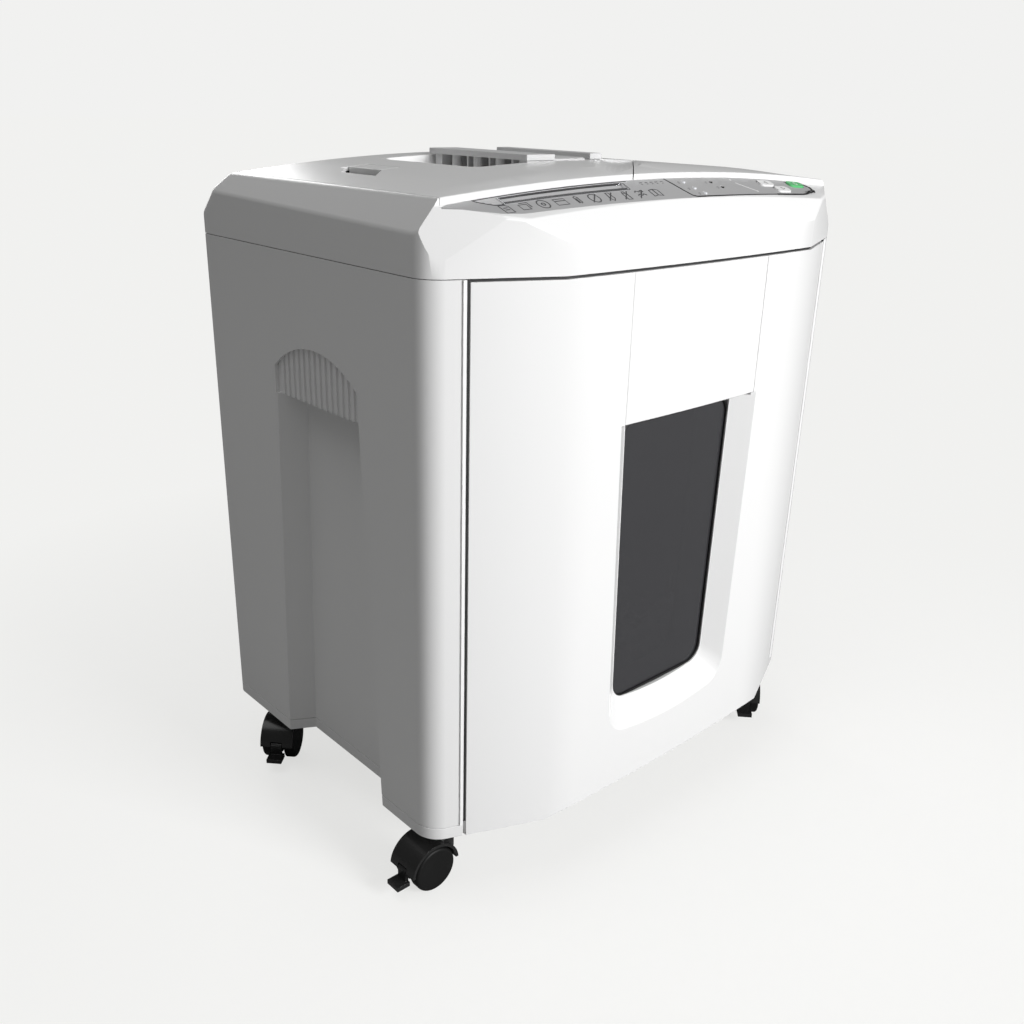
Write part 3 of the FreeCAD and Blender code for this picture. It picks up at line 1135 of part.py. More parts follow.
def build_compound():
    """The reduction gear: the large wheel from the motor and the small one to the rear cutter."""
    phase = mesh_phase(0.0, CUTTER_TEETH, REAR_CUTTER_PHASE, PINION_TEETH)
    small = gear(PINION_TEETH, GEAR_X, GEAR_W, COMPOUND_Y, CUTTER_Z, STUB_R + BEARING_GAP, phase)
    large = gear(WHEEL_TEETH, WHEEL_X, GEAR_W, COMPOUND_Y, CUTTER_Z, STUB_R + BEARING_GAP, 0.0)
    hub = rod(6.5, (GEAR_X + GEAR_W, COMPOUND_Y, CUTTER_Z), (WHEEL_X, COMPOUND_Y, CUTTER_Z))
    hub = hub.cut(rod(STUB_R + BEARING_GAP, (GEAR_X, COMPOUND_Y, CUTTER_Z), (WHEEL_X + 9, COMPOUND_Y, CUTTER_Z)))
    return fuse([small, hub, large])


def build_pinion():
    """The motor shaft with its pinion."""
    phase = mesh_phase(0.0, WHEEL_TEETH, 0.0, PINION_TEETH)
    teeth = gear(PINION_TEETH, WHEEL_X, GEAR_W, MOTOR_Y, CUTTER_Z, 2.0, phase)
    shaft = rod(2.5, (MOTOR_FACE_X - 8, MOTOR_Y, CUTTER_Z), (WHEEL_X + GEAR_W, MOTOR_Y, CUTTER_Z))
    return fuse([teeth, shaft])


def build_motor():
    """The motor can with end bells, feet on the deck and a bore for its shaft."""
    x0 = MOTOR_FACE_X - MOTOR_LEN
    can = rod(MOTOR_R, (x0 + 10, MOTOR_Y, CUTTER_Z), (MOTOR_FACE_X - 10, MOTOR_Y, CUTTER_Z))
    bell = rod(MOTOR_R - 5, (x0, MOTOR_Y, CUTTER_Z), (MOTOR_FACE_X, MOTOR_Y, CUTTER_Z))
    foot = box(x0 + 20, MOTOR_FACE_X - 20, MOTOR_Y - 24, MOTOR_Y + 24, DECK_Z + DECK_T, CUTTER_Z - MOTOR_R + 14)
    body = fuse([can, bell, foot])
    return body.cut(rod(2.5 + BEARING_GAP, (MOTOR_FACE_X - 8.3, MOTOR_Y, CUTTER_Z),
                        (MOTOR_FACE_X + 1, MOTOR_Y, CUTTER_Z)))


def build_tray():
    """The automatic-feed tray: a floor with a feed slot, and low walls."""
    x0, x1, y0, y1 = TRAY_BOX
    tray = box(x0, x1, y0, y1, TRAY_FLOOR_Z, TRAY_FLOOR_Z + 27)
    tray = tray.cut(box(x0 + TRAY_T, x1 - TRAY_T, y0 + TRAY_T, y1 - TRAY_T, TRAY_FLOOR_Z + TRAY_T, SEAM_Z + 90))
    tray = tray.cut(box(x0 + 8, CUTTER_RIGHT_X - 3, FEED_SLOT_Y - 5, FEED_SLOT_Y + 5, 0, SEAM_Z + 20))
    for x in ROLLER_XS:
        tray = tray.cut(box(x - ROLLER_W / 2 - 1.5, x + ROLLER_W / 2 + 1.5, FEED_Y - 11, FEED_Y + 11, 0, SEAM_Z + 20))
    throat = box(x0 + 6, CUTTER_RIGHT_X - 1, FEED_SLOT_Y - 7, FEED_SLOT_Y + 7, CUTTER_Z + 29, TRAY_FLOOR_Z + 0.5)
    throat = throat.cut(box(x0 + 8, CUTTER_RIGHT_X - 3, FEED_SLOT_Y - 5, FEED_SLOT_Y + 5, 0, SEAM_Z + 20))
    legs = []
    for x in (x0 + 8, x1 - 12):
        legs.append(box(x, x + 6, y1 - 12, y1 - 4, DECK_Z + DECK_T, TRAY_FLOOR_Z + 0.5))
    return fuse([tray, throat] + legs)


def build_feed_roller():
    """The pick-up roller: three rubber-covered drums on a shaft, just proud of the tray's floor."""
    z = FEED_Z
    parts = [rod(FEED_SHAFT_R, (TRAY_BOX[0] + 8, FEED_Y, z), (GEAR_X + GEAR_W, FEED_Y, z))]
    for x in ROLLER_XS:
        parts.append(rod(ROLLER_R, (x - ROLLER_W / 2, FEED_Y, z), (x + ROLLER_W / 2, FEED_Y, z)))
    return fuse(parts)


def build_roller_brackets():
    """Two hangers under the tray that carry the pick-up shaft."""
    z = FEED_Z
    hangers = []
    for x in (TRAY_BOX[0] + 12, TRAY_BOX[1] - 6):
        plate = box(x, x + 5, FEED_Y - 9, FEED_Y + 9, z - 9, TRAY_FLOOR_Z)
        hangers.append(plate.cut(rod(FEED_SHAFT_R + BEARING_GAP, (x - 1, FEED_Y, z), (x + 6, FEED_Y, z))))
    return group(hangers)


def build_feed_gear():
    """The gear on the pick-up shaft, driven by the rear cutter's gear."""
    direction = math.atan2(FEED_RISE, FEED_Y - SHAFT_YS[1])
    phase = mesh_phase(direction, CUTTER_TEETH, REAR_CUTTER_PHASE, FEED_TEETH)
    return gear(FEED_TEETH, GEAR_X, GEAR_W, FEED_Y, FEED_Z, FEED_SHAFT_R, phase)


def build_board():
    """The control board under the strip, on two pillars."""
    board = box(8, 176, -148, -127, BOARD_TOP_Z - 1.6, BOARD_TOP_Z)
    return board


def build_board_posts():
    """Three pillars between the control board and the underside of the strip's shelf."""
    posts = []
    for x in (26.0, 100.0, 170.0):
        post = box(x - 3, x + 3, -147, -141, BOARD_TOP_Z, SEAM_Z + 90)
        posts.append(max(post.cut(above_panel(PANEL_T + 3.0, LIP_Y)).Solids, key=lambda solid: -solid.BoundBox.ZMin))
    return group(posts)


def build_power_board():
    """The mains board behind the cutters, on four spacers."""
    board = box(-150, -40, 30, 96, DECK_Z + DECK_T + 8, DECK_Z + DECK_T + 9.6)
    parts = [board]
    for x in (-144.0, -46.0):
        for y in (36.0, 90.0):
            parts.append(Part.makeCylinder(3.0, 8.0, V(x, y, DECK_Z + DECK_T)))
    parts.append(box(-130, -100, 44, 74, DECK_Z + DECK_T + 9.6, DECK_Z + DECK_T + 36))
    parts.append(Part.makeCylinder(9.0, 30.0, V(-72, 60, DECK_Z + DECK_T + 9.6)))
    return fuse(parts)


def build_presser():
    """The plate under the lid that keeps the paper stack down on the pick-up roller."""
    plate = box(-118, 24, -34, 84, PRESSER_Z, PRESSER_Z + 2.0)
    pins = [Part.makeCylinder(3.0, DISH_FLOOR_Z - PRESSER_Z - 2.0, V(x, y, PRESSER_Z + 2.0))
            for x in (-84, 8) for y in (-20, 70)]
    return fuse([plate] + pins)


def chute_section(grow, z, y_mid):
    x0, x1 = SLOT_LEFT_X + 0.4 + CHUTE_WALL - grow, SLOT_RIGHT_X - 0.4 - CHUTE_WALL + grow
    half = SLOT_W / 2 - 0.2 - CHUTE_WALL + grow
    points = [V(x0, y_mid - half, z), V(x1, y_mid - half, z), V(x1, y_mid + half, z), V(x0, y_mid + half, z)]
    return Part.makePolygon(points + points[:1])


def chute_body(grow, end):
    """The chute's path: straight down through the strip, then leaning back to the cutters."""
    knee = 514.0
    upper = Part.makeLoft([chute_section(grow, knee, SLOT_Y), chute_section(grow, SEAM_Z + 60, SLOT_Y)], True, True)
    lower = Part.makeLoft([chute_section(grow, CHUTE_FOOT_Z - end, CHUTE_FOOT_Y), chute_section(grow, knee, SLOT_Y)],
                          True, True)
    return upper.fuse(lower)


def build_slot_lip():
    """The bright lip and chute of the disc and card slot."""
    chute = chute_body(CHUTE_WALL, 0.0).cut(above_panel(-0.6, LIP_Y + 30))
    chute = chute.cut(chute_body(0.0, 0.0))
    return max(chute.removeSplitter().Solids, key=lambda solid: solid.Volume)


# ---------------------------------------------------------------- casters
def caster_turned(shape, place):
    """A caster piece modelled about its stem, trailing to the left, turned and put in place."""
    x, y, turn = place
    shape.rotate(V(0, 0, 0), V(0, 0, 1), turn)
    shape.translate(V(x, y, 0))
    return shape


def caster_hood():
    """A swivel hood with its neck and stem."""
    cx = -CASTER_TRAIL
    cz = WHEEL_R
    top = BASE_Z - HOOD_GAP
    half = HOOD_HALF + WHEEL_W + 0.5
    core = rod(HOOD_R, (cx, -HOOD_HALF, cz), (cx, HOOD_HALF, cz))
    core = core.cut(box(cx - 60, cx + 60, -40, 40, -40, cz - 4))
    cover = rod(HOOD_R, (cx, -half, cz), (cx, half, cz))
    cover = cover.cut(rod(WHEEL_R + WHEEL_GAP, (cx, -half - 1, cz), (cx, half + 1, cz)))
    cover = cover.cut(box(cx - 60, cx + 60, -40, 40, -40, cz + 2))
    neck = Part.makeCylinder(11.0, top - cz - 8, V(0, 0, cz + 8))
    stem = Part.makeCylinder(STEM_R, top + 7.0 - cz - 8, V(0, 0, cz + 8))
    body = neck.fuse(stem)
    for y0, y1 in ((HOOD_HALF, 40), (-40, -HOOD_HALF)):
        body = body.cut(rod(WHEEL_R + WHEEL_GAP, (cx, y0, cz), (cx, y1, cz)))
    hood = fuse([core, cover, body])
    collar = box(-90, 90, -90, 90, top, top + 40).cut(Part.makeCylinder(STEM_R, 90, V(0, 0, 0)))
    hood = hood.cut(collar)
    hood = hood.cut(box(cx - 60, cx - WHEEL_R - 0.5, -BRAKE_HALF - 0.5, BRAKE_HALF + 0.5, -40, cz + 7))
    return hood.cut(rod(AXLE_R + BEARING_GAP, (cx, -40, cz), (cx, 40, cz)))


def caster_wheels():
    """A pair of wheels on one axle, each with a domed outer face."""
    cx = -CASTER_TRAIL
    cz = WHEEL_R
    parts = [rod(AXLE_R, (cx, -HOOD_HALF - 3, cz), (cx, HOOD_HALF + 3, cz))]
    for side in (-1, 1):
        y0 = side * (HOOD_HALF + 0.5)
        y1 = y0 + side * WHEEL_W
        wheel = rod(WHEEL_R, (cx, min(y0, y1), cz), (cx, max(y0, y1), cz))
        wheel = fillet_edges(wheel, 2.5, lambda edge: abs(edge.BoundBox.Center.y - y1) < 0.2
                             and edge.BoundBox.ZLength > WHEEL_R)
        parts.append(wheel)
    return fuse(parts)


def caster_brake():
    """A rocking brake pedal that sticks out behind the hood."""
    x, z = BRAKE_PIVOT_X, BRAKE_PIVOT_Z
    web = box(x - 2.0, x + 1.0, -BRAKE_HALF, BRAKE_HALF, z - 10.0, z)
    pad = box(x - BRAKE_REACH, x + 1.0, -BRAKE_HALF - 2, BRAKE_HALF + 2, z - 13.5, z - 9.5)
    pivot = rod(BRAKE_PIN_R, (x, -BRAKE_HALF, z), (x, BRAKE_HALF, z))
    return fuse([web, pad, pivot])


# ---------------------------------------------------------------- fasteners and build


def build_screws():
    """The screws that hold the rear panel, with cross recesses."""
    screws = []
    for x, z in SCREW_PLACES:
        head = rod(SCREW_HEAD_R, (x, REAR_Y - SCREW_HEAD_T, z), (x, REAR_Y, z))
        head = head.cut(box(x - 2.2, x + 2.2, REAR_Y - 1.0, REAR_Y + 1, z - 0.4, z + 0.4))
        head = head.cut(box(x - 0.4, x + 0.4, REAR_Y - 1.0, REAR_Y + 1, z - 2.2, z + 2.2))
        screws.append(head)
    return group(screws)


def main():
    os.makedirs("parts", exist_ok=True)
    outer = head_solid(0.0)
    inner = head_solid(HEAD_WALL)
    print("head outer", outer.isValid(), round(outer.Volume), "inner", inner.isValid(), round(inner.Volume))
    head = add_hinge(build_head(outer, inner), outer, inner)
    save("head_cover", head)
    save("control_strip", build_strip(outer))
    save("indicator_lamps", build_lamps(outer))
    for index, name in enumerate(("reverse_button", "forward_button", "power_button")):
        save(name, build_button(outer, index))
    save("feed_lid", build_lid(outer, inner))
    save("lid_hinge_pins", build_hinge_pins())
    save("grip_dish", build_dish(outer))
    save("grip_bridge", build_bridge())
    save("latch_cup", build_recess_cup(outer, inner))
    save("lid_latch", build_latch(outer, inner))
    save("left_side_panel", build_side(True))
    save("right_side_panel", build_side(False))
    save("rear_panel", build_rear())
    save("cable_gland", build_gland())
    save("base_moulding", build_base())
    save("bin_runners", build_runners())
    save("inner_deck", build_deck())
    save("door_shell", build_door())
    save("door_centre_panel", build_centre_panel())
    save("window_pane", build_pane())
    save("waste_tub", build_tub())
    save("front_cutter_shaft", build_cutter(0))
    save("rear_cutter_shaft", build_cutter(1))
    save("front_cutter_gear", gear(CUTTER_TEETH, GEAR_X, GEAR_W, SHAFT_YS[0], CUTTER_Z, JOURNAL_R))
    save("rear_cutter_gear", gear(CUTTER_TEETH, GEAR_X, GEAR_W, SHAFT_YS[1], CUTTER_Z, JOURNAL_R,
                                  REAR_CUTTER_PHASE))
    save("feed_gear", build_feed_gear())
    save("left_end_plate", build_side_plate(False))
    save("right_end_plate", build_side_plate(True))
    save("cutter_bushes", build_bearings())
    save("tie_rods", build_ties())
    save("front_stripper_comb", build_stripper(0))
    save("rear_stripper_comb", build_stripper(1))
    save("gear_bracket", build_bracket())
    save("reduction_gear", build_compound())
    save("motor_pinion", build_pinion())
    save("drive_motor", build_motor())
    save("paper_tray", build_tray())
    save("pickup_roller", build_feed_roller())
    save("roller_hangers", build_roller_brackets())
    save("control_board", build_board())
    save("board_posts", build_board_posts())
    save("power_board", build_power_board())
    save("presser_plate", build_presser())
    save("slot_lip", build_slot_lip())
    for name, place in zip(("front_left", "front_right", "rear_left", "rear_right"), caster_places()):
        save(name + "_caster_hood", caster_turned(caster_hood(), place))
        save(name + "_caster_wheels", caster_turned(caster_wheels(), place))
        save(name + "_caster_brake", caster_turned(caster_brake(), place))
    save("case_screws", build_screws())


main()
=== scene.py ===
"""Paper shredder on casters: finishes, detailed pieces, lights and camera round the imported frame."""

import json
import logging
import math
import random
from dataclasses import dataclass, field
from enum import Enum
from typing import Any, Callable, Sequence

import bmesh
import bpy
from mathutils import Matrix, Vector
from mathutils.bvhtree import BVHTree

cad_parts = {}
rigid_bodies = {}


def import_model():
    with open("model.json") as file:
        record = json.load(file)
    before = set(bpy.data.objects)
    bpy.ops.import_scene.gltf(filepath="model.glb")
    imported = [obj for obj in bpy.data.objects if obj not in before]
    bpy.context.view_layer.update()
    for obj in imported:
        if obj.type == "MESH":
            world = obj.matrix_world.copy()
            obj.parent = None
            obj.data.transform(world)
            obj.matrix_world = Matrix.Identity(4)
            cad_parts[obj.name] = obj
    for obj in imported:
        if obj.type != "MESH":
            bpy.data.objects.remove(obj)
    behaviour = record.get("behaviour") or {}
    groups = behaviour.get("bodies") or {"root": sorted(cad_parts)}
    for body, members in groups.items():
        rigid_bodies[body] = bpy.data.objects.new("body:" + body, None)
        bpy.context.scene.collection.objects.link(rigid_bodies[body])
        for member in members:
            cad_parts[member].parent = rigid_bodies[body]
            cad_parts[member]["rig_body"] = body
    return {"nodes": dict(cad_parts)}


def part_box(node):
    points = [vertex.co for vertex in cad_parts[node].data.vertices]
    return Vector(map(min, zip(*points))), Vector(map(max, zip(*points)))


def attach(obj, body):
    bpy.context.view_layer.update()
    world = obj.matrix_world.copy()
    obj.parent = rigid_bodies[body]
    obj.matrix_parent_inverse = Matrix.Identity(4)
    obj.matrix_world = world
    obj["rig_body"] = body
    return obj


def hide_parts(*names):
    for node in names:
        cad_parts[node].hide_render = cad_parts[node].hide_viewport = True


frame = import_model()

LOG = logging.getLogger("shredder")
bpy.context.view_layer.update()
MM = 0.001
# Search trees of the CAD nodes that print is laid over, made once each.
TREES: dict[str, BVHTree] = {}
Colour = tuple[float, float, float, float]
# Places over the XY plane, in millimetres.
Path = Sequence[tuple[float, float]]
# A path, and whether it is closed.
Line = tuple[bool, Path]
# CAD vertices nearer than this are one, in metres.
MERGE = 0.000004
# CAD faces within this angle are one flat face, in degrees.
FLAT = 0.7
# How far over a node its top is looked for, in metres.
LOOK_FROM = 0.05


def grey(level: float, alpha: float = 1.0) -> Colour:
    """A neutral colour of the given linear level."""
    return (level, level, level, alpha)


# ------------------------------------------------------------------ node trees
class Tree:
    """Adds and links the nodes of one material or node group."""

    def __init__(self, tree: bpy.types.NodeTree) -> None:
        """Keeps the tree that is being built."""
        self.tree = tree

    def add(self, kind: str, **settings: Any) -> bpy.types.Node:
        """Adds a node.

        Args:
            kind: the node's type, such as ShaderNodeTexNoise.
            settings: properties of the node, or values of its inputs by name with spaces as underscores.

        Returns:
            The new node.
        """
        node = self.tree.nodes.new(kind)
        for key, value in settings.items():
            if hasattr(node, key):
                setattr(node, key, value)
            else:
                node.inputs[key.replace("_", " ")].default_value = value
        return node

    def link(self, source: bpy.types.NodeSocket, target: bpy.types.NodeSocket) -> None:
        """Links an output to an input."""
        self.tree.links.new(source, target)

    def math(self, operation: str, first: Any, second: Any) -> bpy.types.NodeSocket:
        """A Math node's result for two sockets or numbers.

        Args:
            operation: the Math node's operation.
            first: a socket or a number.
            second: a socket or a number.

        Returns:
            The node's output socket.
        """
        node = self.tree.nodes.new("ShaderNodeMath")
        node.operation = operation
        for index, value in enumerate((first, second)):
            if isinstance(value, (int, float)):
                node.inputs[index].default_value = value
            else:
                self.link(value, node.inputs[index])
        return node.outputs[0]

    def noise(self, vector: bpy.types.NodeSocket, scale: float, detail: float, roughness: float = 0.55) -> Any:
        """A noise texture's Fac output at one scale, in cycles per metre."""
        node = self.add("ShaderNodeTexNoise", Scale=scale, Detail=detail, Roughness=roughness)
        self.link(vector, node.inputs["Vector"])
        return node.outputs["Fac"]

    def ramp(self, factor: bpy.types.NodeSocket, low: float, high: float) -> bpy.types.NodeSocket:
        """Stretches a value so that low becomes 0 and high becomes 1."""
        node = self.add("ShaderNodeMapRange")
        node.inputs["From Min"].default_value = low
        node.inputs["From Max"].default_value = high
        self.link(factor, node.inputs["Value"])
        return node.outputs["Result"]


class EffectGroup:
    """A shader node group with named inputs and outputs, built once and shared by the finishes."""

    def __init__(self, name: str, inputs: dict[str, float], outputs: Sequence[str],
                 fill: Callable[[Tree, Any, Any], None]) -> None:
        """Builds the group.

        Args:
            name: the group's name.
            inputs: each value input with its default.
            outputs: the names of the value outputs.
            fill: adds the group's nodes between its input and output nodes.
        """
        self.group = bpy.data.node_groups.new(name, "ShaderNodeTree")
        interface = self.group.interface
        interface.new_socket(name="Vector", in_out="INPUT", socket_type="NodeSocketVector")
        for key, value in inputs.items():
            socket = interface.new_socket(name=key, in_out="INPUT", socket_type="NodeSocketFloat")
            socket.default_value = value
        for key in outputs:
            interface.new_socket(name=key, in_out="OUTPUT", socket_type="NodeSocketFloat")
        tree = Tree(self.group)
        fill(tree, tree.add("NodeGroupInput"), tree.add("NodeGroupOutput"))

    def place(self, tree: Tree, vector: bpy.types.NodeSocket, **values: float) -> bpy.types.Node:
        """Places the group in a material.

        Args:
            tree: the material's tree.
            vector: the coordinates it reads.
            values: values of its inputs by name.

        Returns:
            The group node.
        """
        node = tree.tree.nodes.new("ShaderNodeGroup")
        node.node_tree = self.group
        tree.link(vector, node.inputs["Vector"])
        for key, value in values.items():
            node.inputs[key].default_value = value
        return node


def fill_grain(tree: Tree, start: bpy.types.Node, end: bpy.types.Node) -> None:
    """Moulded grain: fine spark-eroded pits over a slow waviness."""
    vector = start.outputs["Vector"]
    fine = tree.add("ShaderNodeTexNoise", Detail=3.0, Roughness=0.6)
    tree.link(vector, fine.inputs["Vector"])
    tree.link(start.outputs["Fineness"], fine.inputs["Scale"])
    slow = tree.noise(vector, 14.0, 1.0)
    pits = tree.math("MULTIPLY", fine.outputs["Fac"], 0.75)
    total = tree.math("ADD", pits, tree.math("MULTIPLY", slow, 0.25))
    tree.link(total, end.inputs["Height"])


def fill_soil(tree: Tree, start: bpy.types.Node, end: bpy.types.Node) -> None:
    """Handling marks: soft cloudy smudges, and thin scuffs where they are strongest."""
    vector = start.outputs["Vector"]
    cloud = tree.ramp(tree.noise(vector, 9.0, 5.0), 0.42, 0.78)
    stretched = tree.add("ShaderNodeMapping")
    stretched.inputs["Scale"].default_value = (40.0, 260.0, 18.0)
    tree.link(vector, stretched.inputs["Vector"])
    scratch = tree.ramp(tree.noise(stretched.outputs["Vector"], 3.0, 2.0), 0.64, 0.72)
    mixed = tree.math("ADD", cloud, tree.math("MULTIPLY", tree.math("MULTIPLY", scratch, cloud), 0.8))
    tree.link(tree.math("MULTIPLY", mixed, start.outputs["Amount"]), end.inputs["Mask"])


def fill_brush(tree: Tree, start: bpy.types.Node, end: bpy.types.Node) -> None:
    """Rolled or turned metal: long fine lines along X."""
    stretched = tree.add("ShaderNodeMapping")
    stretched.inputs["Scale"].default_value = (6.0, 900.0, 900.0)
    tree.link(start.outputs["Vector"], stretched.inputs["Vector"])
    tree.link(tree.noise(stretched.outputs["Vector"], 1.0, 4.0), end.inputs["Height"])


GRAIN = EffectGroup("moulded_grain", {"Fineness": 900.0}, ["Height"], fill_grain)
SOIL = EffectGroup("handling_marks", {"Amount": 1.0}, ["Mask"], fill_soil)
BRUSH = EffectGroup("brushed_lines", {}, ["Height"], fill_brush)


# ------------------------------------------------------------------ finishes
@dataclass(frozen=True)
class Finish:
    """What every finish has: a name, a colour and a roughness."""

    name: str
    colour: Colour
    roughness: float = 0.4

    def start(self) -> tuple[bpy.types.Material, Tree, bpy.types.Node, bpy.types.NodeSocket]:
        """Begins the material.

        Returns:
            The material, its tree, its Principled shader and the Object coordinates.
        """
        material = bpy.data.materials.new(self.name)
        material.use_nodes = True
        material.diffuse_color = self.colour
        material.node_tree.nodes.clear()
        tree = Tree(material.node_tree)
        shader = tree.add("ShaderNodeBsdfPrincipled", Base_Color=self.colour, Roughness=self.roughness)
        output = tree.add("ShaderNodeOutputMaterial")
        tree.link(shader.outputs["BSDF"], output.inputs["Surface"])
        where = tree.add("ShaderNodeTexCoord").outputs["Object"]
        return material, tree, shader, where

    def blend_colour(self, tree: Tree, shader: bpy.types.Node, mask: bpy.types.NodeSocket,
                     other: Colour) -> None:
        """Mixes the base colour towards another one by a mask."""
        mix = tree.add("ShaderNodeMix", data_type="RGBA")
        colours = [socket for socket in mix.inputs if socket.type == "RGBA"]
        colours[0].default_value = self.colour
        colours[1].default_value = other
        tree.link(mask, mix.inputs["Factor"])
        result = [socket for socket in mix.outputs if socket.type == "RGBA"][0]
        tree.link(result, shader.inputs["Base Color"])

    def vary_roughness(self, tree: Tree, shader: bpy.types.Node, mask: bpy.types.NodeSocket,
                       rise: float) -> None:
        """Raises the roughness by a mask."""
        total = tree.math("ADD", tree.math("MULTIPLY", mask, rise), self.roughness)
        tree.link(total, shader.inputs["Roughness"])

    def bump(self, tree: Tree, shader: bpy.types.Node, height: bpy.types.NodeSocket, depth: float) -> None:
        """Feeds a height into the shader's normal."""
        node = tree.add("ShaderNodeBump", Strength=1.0, Distance=depth)
        tree.link(height, node.inputs["Height"])
        tree.link(node.outputs["Normal"], shader.inputs["Normal"])


@dataclass(frozen=True)
class Plastic(Finish):
    """Moulded plastic with a fine grain and light handling marks."""

    fineness: float = 1100.0
    depth: float = 0.00004
    soil: float = 0.35
    soiled: Colour = (0.42, 0.41, 0.38, 1.0)
    specular: float = 0.5

    def material(self) -> bpy.types.Material:
        """Builds the material."""
        material, tree, shader, where = self.start()
        shader.inputs["Specular IOR Level"].default_value = self.specular
        marks = SOIL.place(tree, where, Amount=self.soil)
        self.blend_colour(tree, shader, marks.outputs["Mask"], self.soiled)
        self.vary_roughness(tree, shader, marks.outputs["Mask"], 0.3)
        grain = GRAIN.place(tree, where, Fineness=self.fineness)
        self.bump(tree, shader, grain.outputs["Height"], self.depth)
        return material


@dataclass(frozen=True)
class Metal(Finish):
    """Bare, plated or painted metal with rolling lines and thin soil."""

    metallic: float = 1.0
    depth: float = 0.00003
    soil: float = 0.4
    soiled: Colour = (0.12, 0.11, 0.1, 1.0)

    def material(self) -> bpy.types.Material:
        """Builds the material."""
        material, tree, shader, where = self.start()
        shader.inputs["Metallic"].default_value = self.metallic
        marks = SOIL.place(tree, where, Amount=self.soil)
        self.blend_colour(tree, shader, marks.outputs["Mask"], self.soiled)
        self.vary_roughness(tree, shader, marks.outputs["Mask"], 0.25)
        lines = BRUSH.place(tree, where)
        self.bump(tree, shader, lines.outputs["Height"], self.depth)
        return material


@dataclass(frozen=True)
class SmokedPane(Finish):
    """Tinted clear plastic that lets a little of the bin show."""

    see_through: float = 0.45
    specular: float = 0.25

    def material(self) -> bpy.types.Material:
        """Builds the material."""
        material, tree, shader, where = self.start()
        shader.inputs["Transmission Weight"].default_value = self.see_through
        shader.inputs["IOR"].default_value = 1.2
        shader.inputs["Specular IOR Level"].default_value = self.specular
        haze = tree.ramp(tree.noise(where, 11.0, 4.0), 0.3, 0.75)
        self.vary_roughness(tree, shader, haze, 0.12)
        parts = tree.add("ShaderNodeSeparateXYZ")
        tree.link(where, parts.inputs[0])
        # The pane is made paler towards the bottom, by height alone.
        lower_paling = tree.ramp(parts.outputs["Z"], 0.30, 0.14)
        mask = tree.math("ADD", tree.math("MULTIPLY", haze, 0.25), tree.math("MULTIPLY", lower_paling, 0.6))
        self.blend_colour(tree, shader, mask, grey(self.colour[0] * 3.4))
        return material


@dataclass(frozen=True)
class Lens(Finish):
    """A small glowing lamp lens."""

    glow: float = 0.5

    def material(self) -> bpy.types.Material:
        """Builds the material."""
        material, tree, shader, where = self.start()
        spots = tree.ramp(tree.noise(where, 900.0, 2.0), 0.3, 0.8)
        self.blend_colour(tree, shader, spots, tuple(0.8 * c for c in self.colour[:3]) + (1.0,))
        shader.inputs["Emission Color"].default_value = self.colour
        shader.inputs["Emission Strength"].default_value = self.glow
        return material


class Look(Enum):
    """The finishes of the machine's pieces."""

    SHELL = Plastic("white_shell", (0.80, 0.80, 0.795, 1.0), 0.36, depth=0.00003, soil=0.10)
    BRIDGE = Plastic("bridge_grey", (0.66, 0.66, 0.665, 1.0), 0.38, soil=0.2)
    STRIP = Plastic("strip_grey", (0.40, 0.40, 0.405, 1.0), 0.42, fineness=1600.0, soil=0.15)
    RAMP = Plastic("ramp_grey", (0.52, 0.52, 0.525, 1.0), 0.36, fineness=1600.0, soil=0.15)
    PRINT = Plastic("icon_print", (0.075, 0.075, 0.078, 1.0), 0.5, soil=0.2, soiled=grey(0.2))
    PRINT_PALE = Plastic("pale_print", (0.75, 0.75, 0.75, 1.0), 0.5, soil=0.2)
    WHITE_KEY = Plastic("white_key", (0.80, 0.80, 0.80, 1.0), 0.25, soil=0.15)
    GREEN_KEY = Plastic("green_key", (0.09, 0.42, 0.13, 1.0), 0.25, soil=0.15,
                       soiled=(0.04, 0.2, 0.07, 1.0))
    BLACK = Plastic("black_plastic", (0.004, 0.004, 0.0045, 1.0), 0.34, soil=0.25, soiled=grey(0.014),
                    specular=0.2)
    DARK = Plastic("shadow_black", (0.02, 0.02, 0.021, 1.0), 0.5, soil=0.2, soiled=grey(0.05))
    TUB = Plastic("tub_grey", (0.16, 0.16, 0.165, 1.0), 0.45, soil=0.5, soiled=grey(0.24))
    TREAD = Plastic("tread_rubber", (0.006, 0.006, 0.006, 1.0), 0.45, fineness=700.0, soil=0.4,
                    soiled=grey(0.02), specular=0.22)
    ROLLER = Plastic("roller_rubber", (0.06, 0.06, 0.062, 1.0), 0.7, fineness=600.0, soil=0.5,
                     soiled=grey(0.14))
    BOARD = Plastic("circuit_green", (0.02, 0.16, 0.06, 1.0), 0.35, soil=0.3, soiled=(0.1, 0.12, 0.05, 1.0))
    PAPER = Plastic("paper", (0.62, 0.62, 0.60, 1.0), 0.8, fineness=2500.0, soil=0.25)
    STEEL = Metal("machined_steel", (0.55, 0.56, 0.58, 1.0), 0.28)
    GEARS = Metal("oiled_gear_steel", (0.36, 0.36, 0.38, 1.0), 0.32)
    ZINC = Metal("zinc_sheet", (0.60, 0.62, 0.64, 1.0), 0.38)
    TRIM = Metal("bright_trim", (0.80, 0.80, 0.82, 1.0), 0.16, soil=0.1)
    MOTOR = Metal("motor_paint", (0.05, 0.05, 0.055, 1.0), 0.45, metallic=0.2)
    PANE = SmokedPane("smoked_pane", (0.016, 0.016, 0.017, 1.0), 0.08)
    LAMP = Lens("lamp_lens", (0.85, 0.88, 0.92, 1.0), 0.2, glow=0.35)
    LAMP_OFF = Lens("lamp_off", (0.02, 0.02, 0.02, 1.0), 0.2, glow=0.0)

    def material(self) -> bpy.types.Material:
        """The finish's material, made once."""
        finish = self.value
        return bpy.data.materials.get(finish.name) or finish.material()


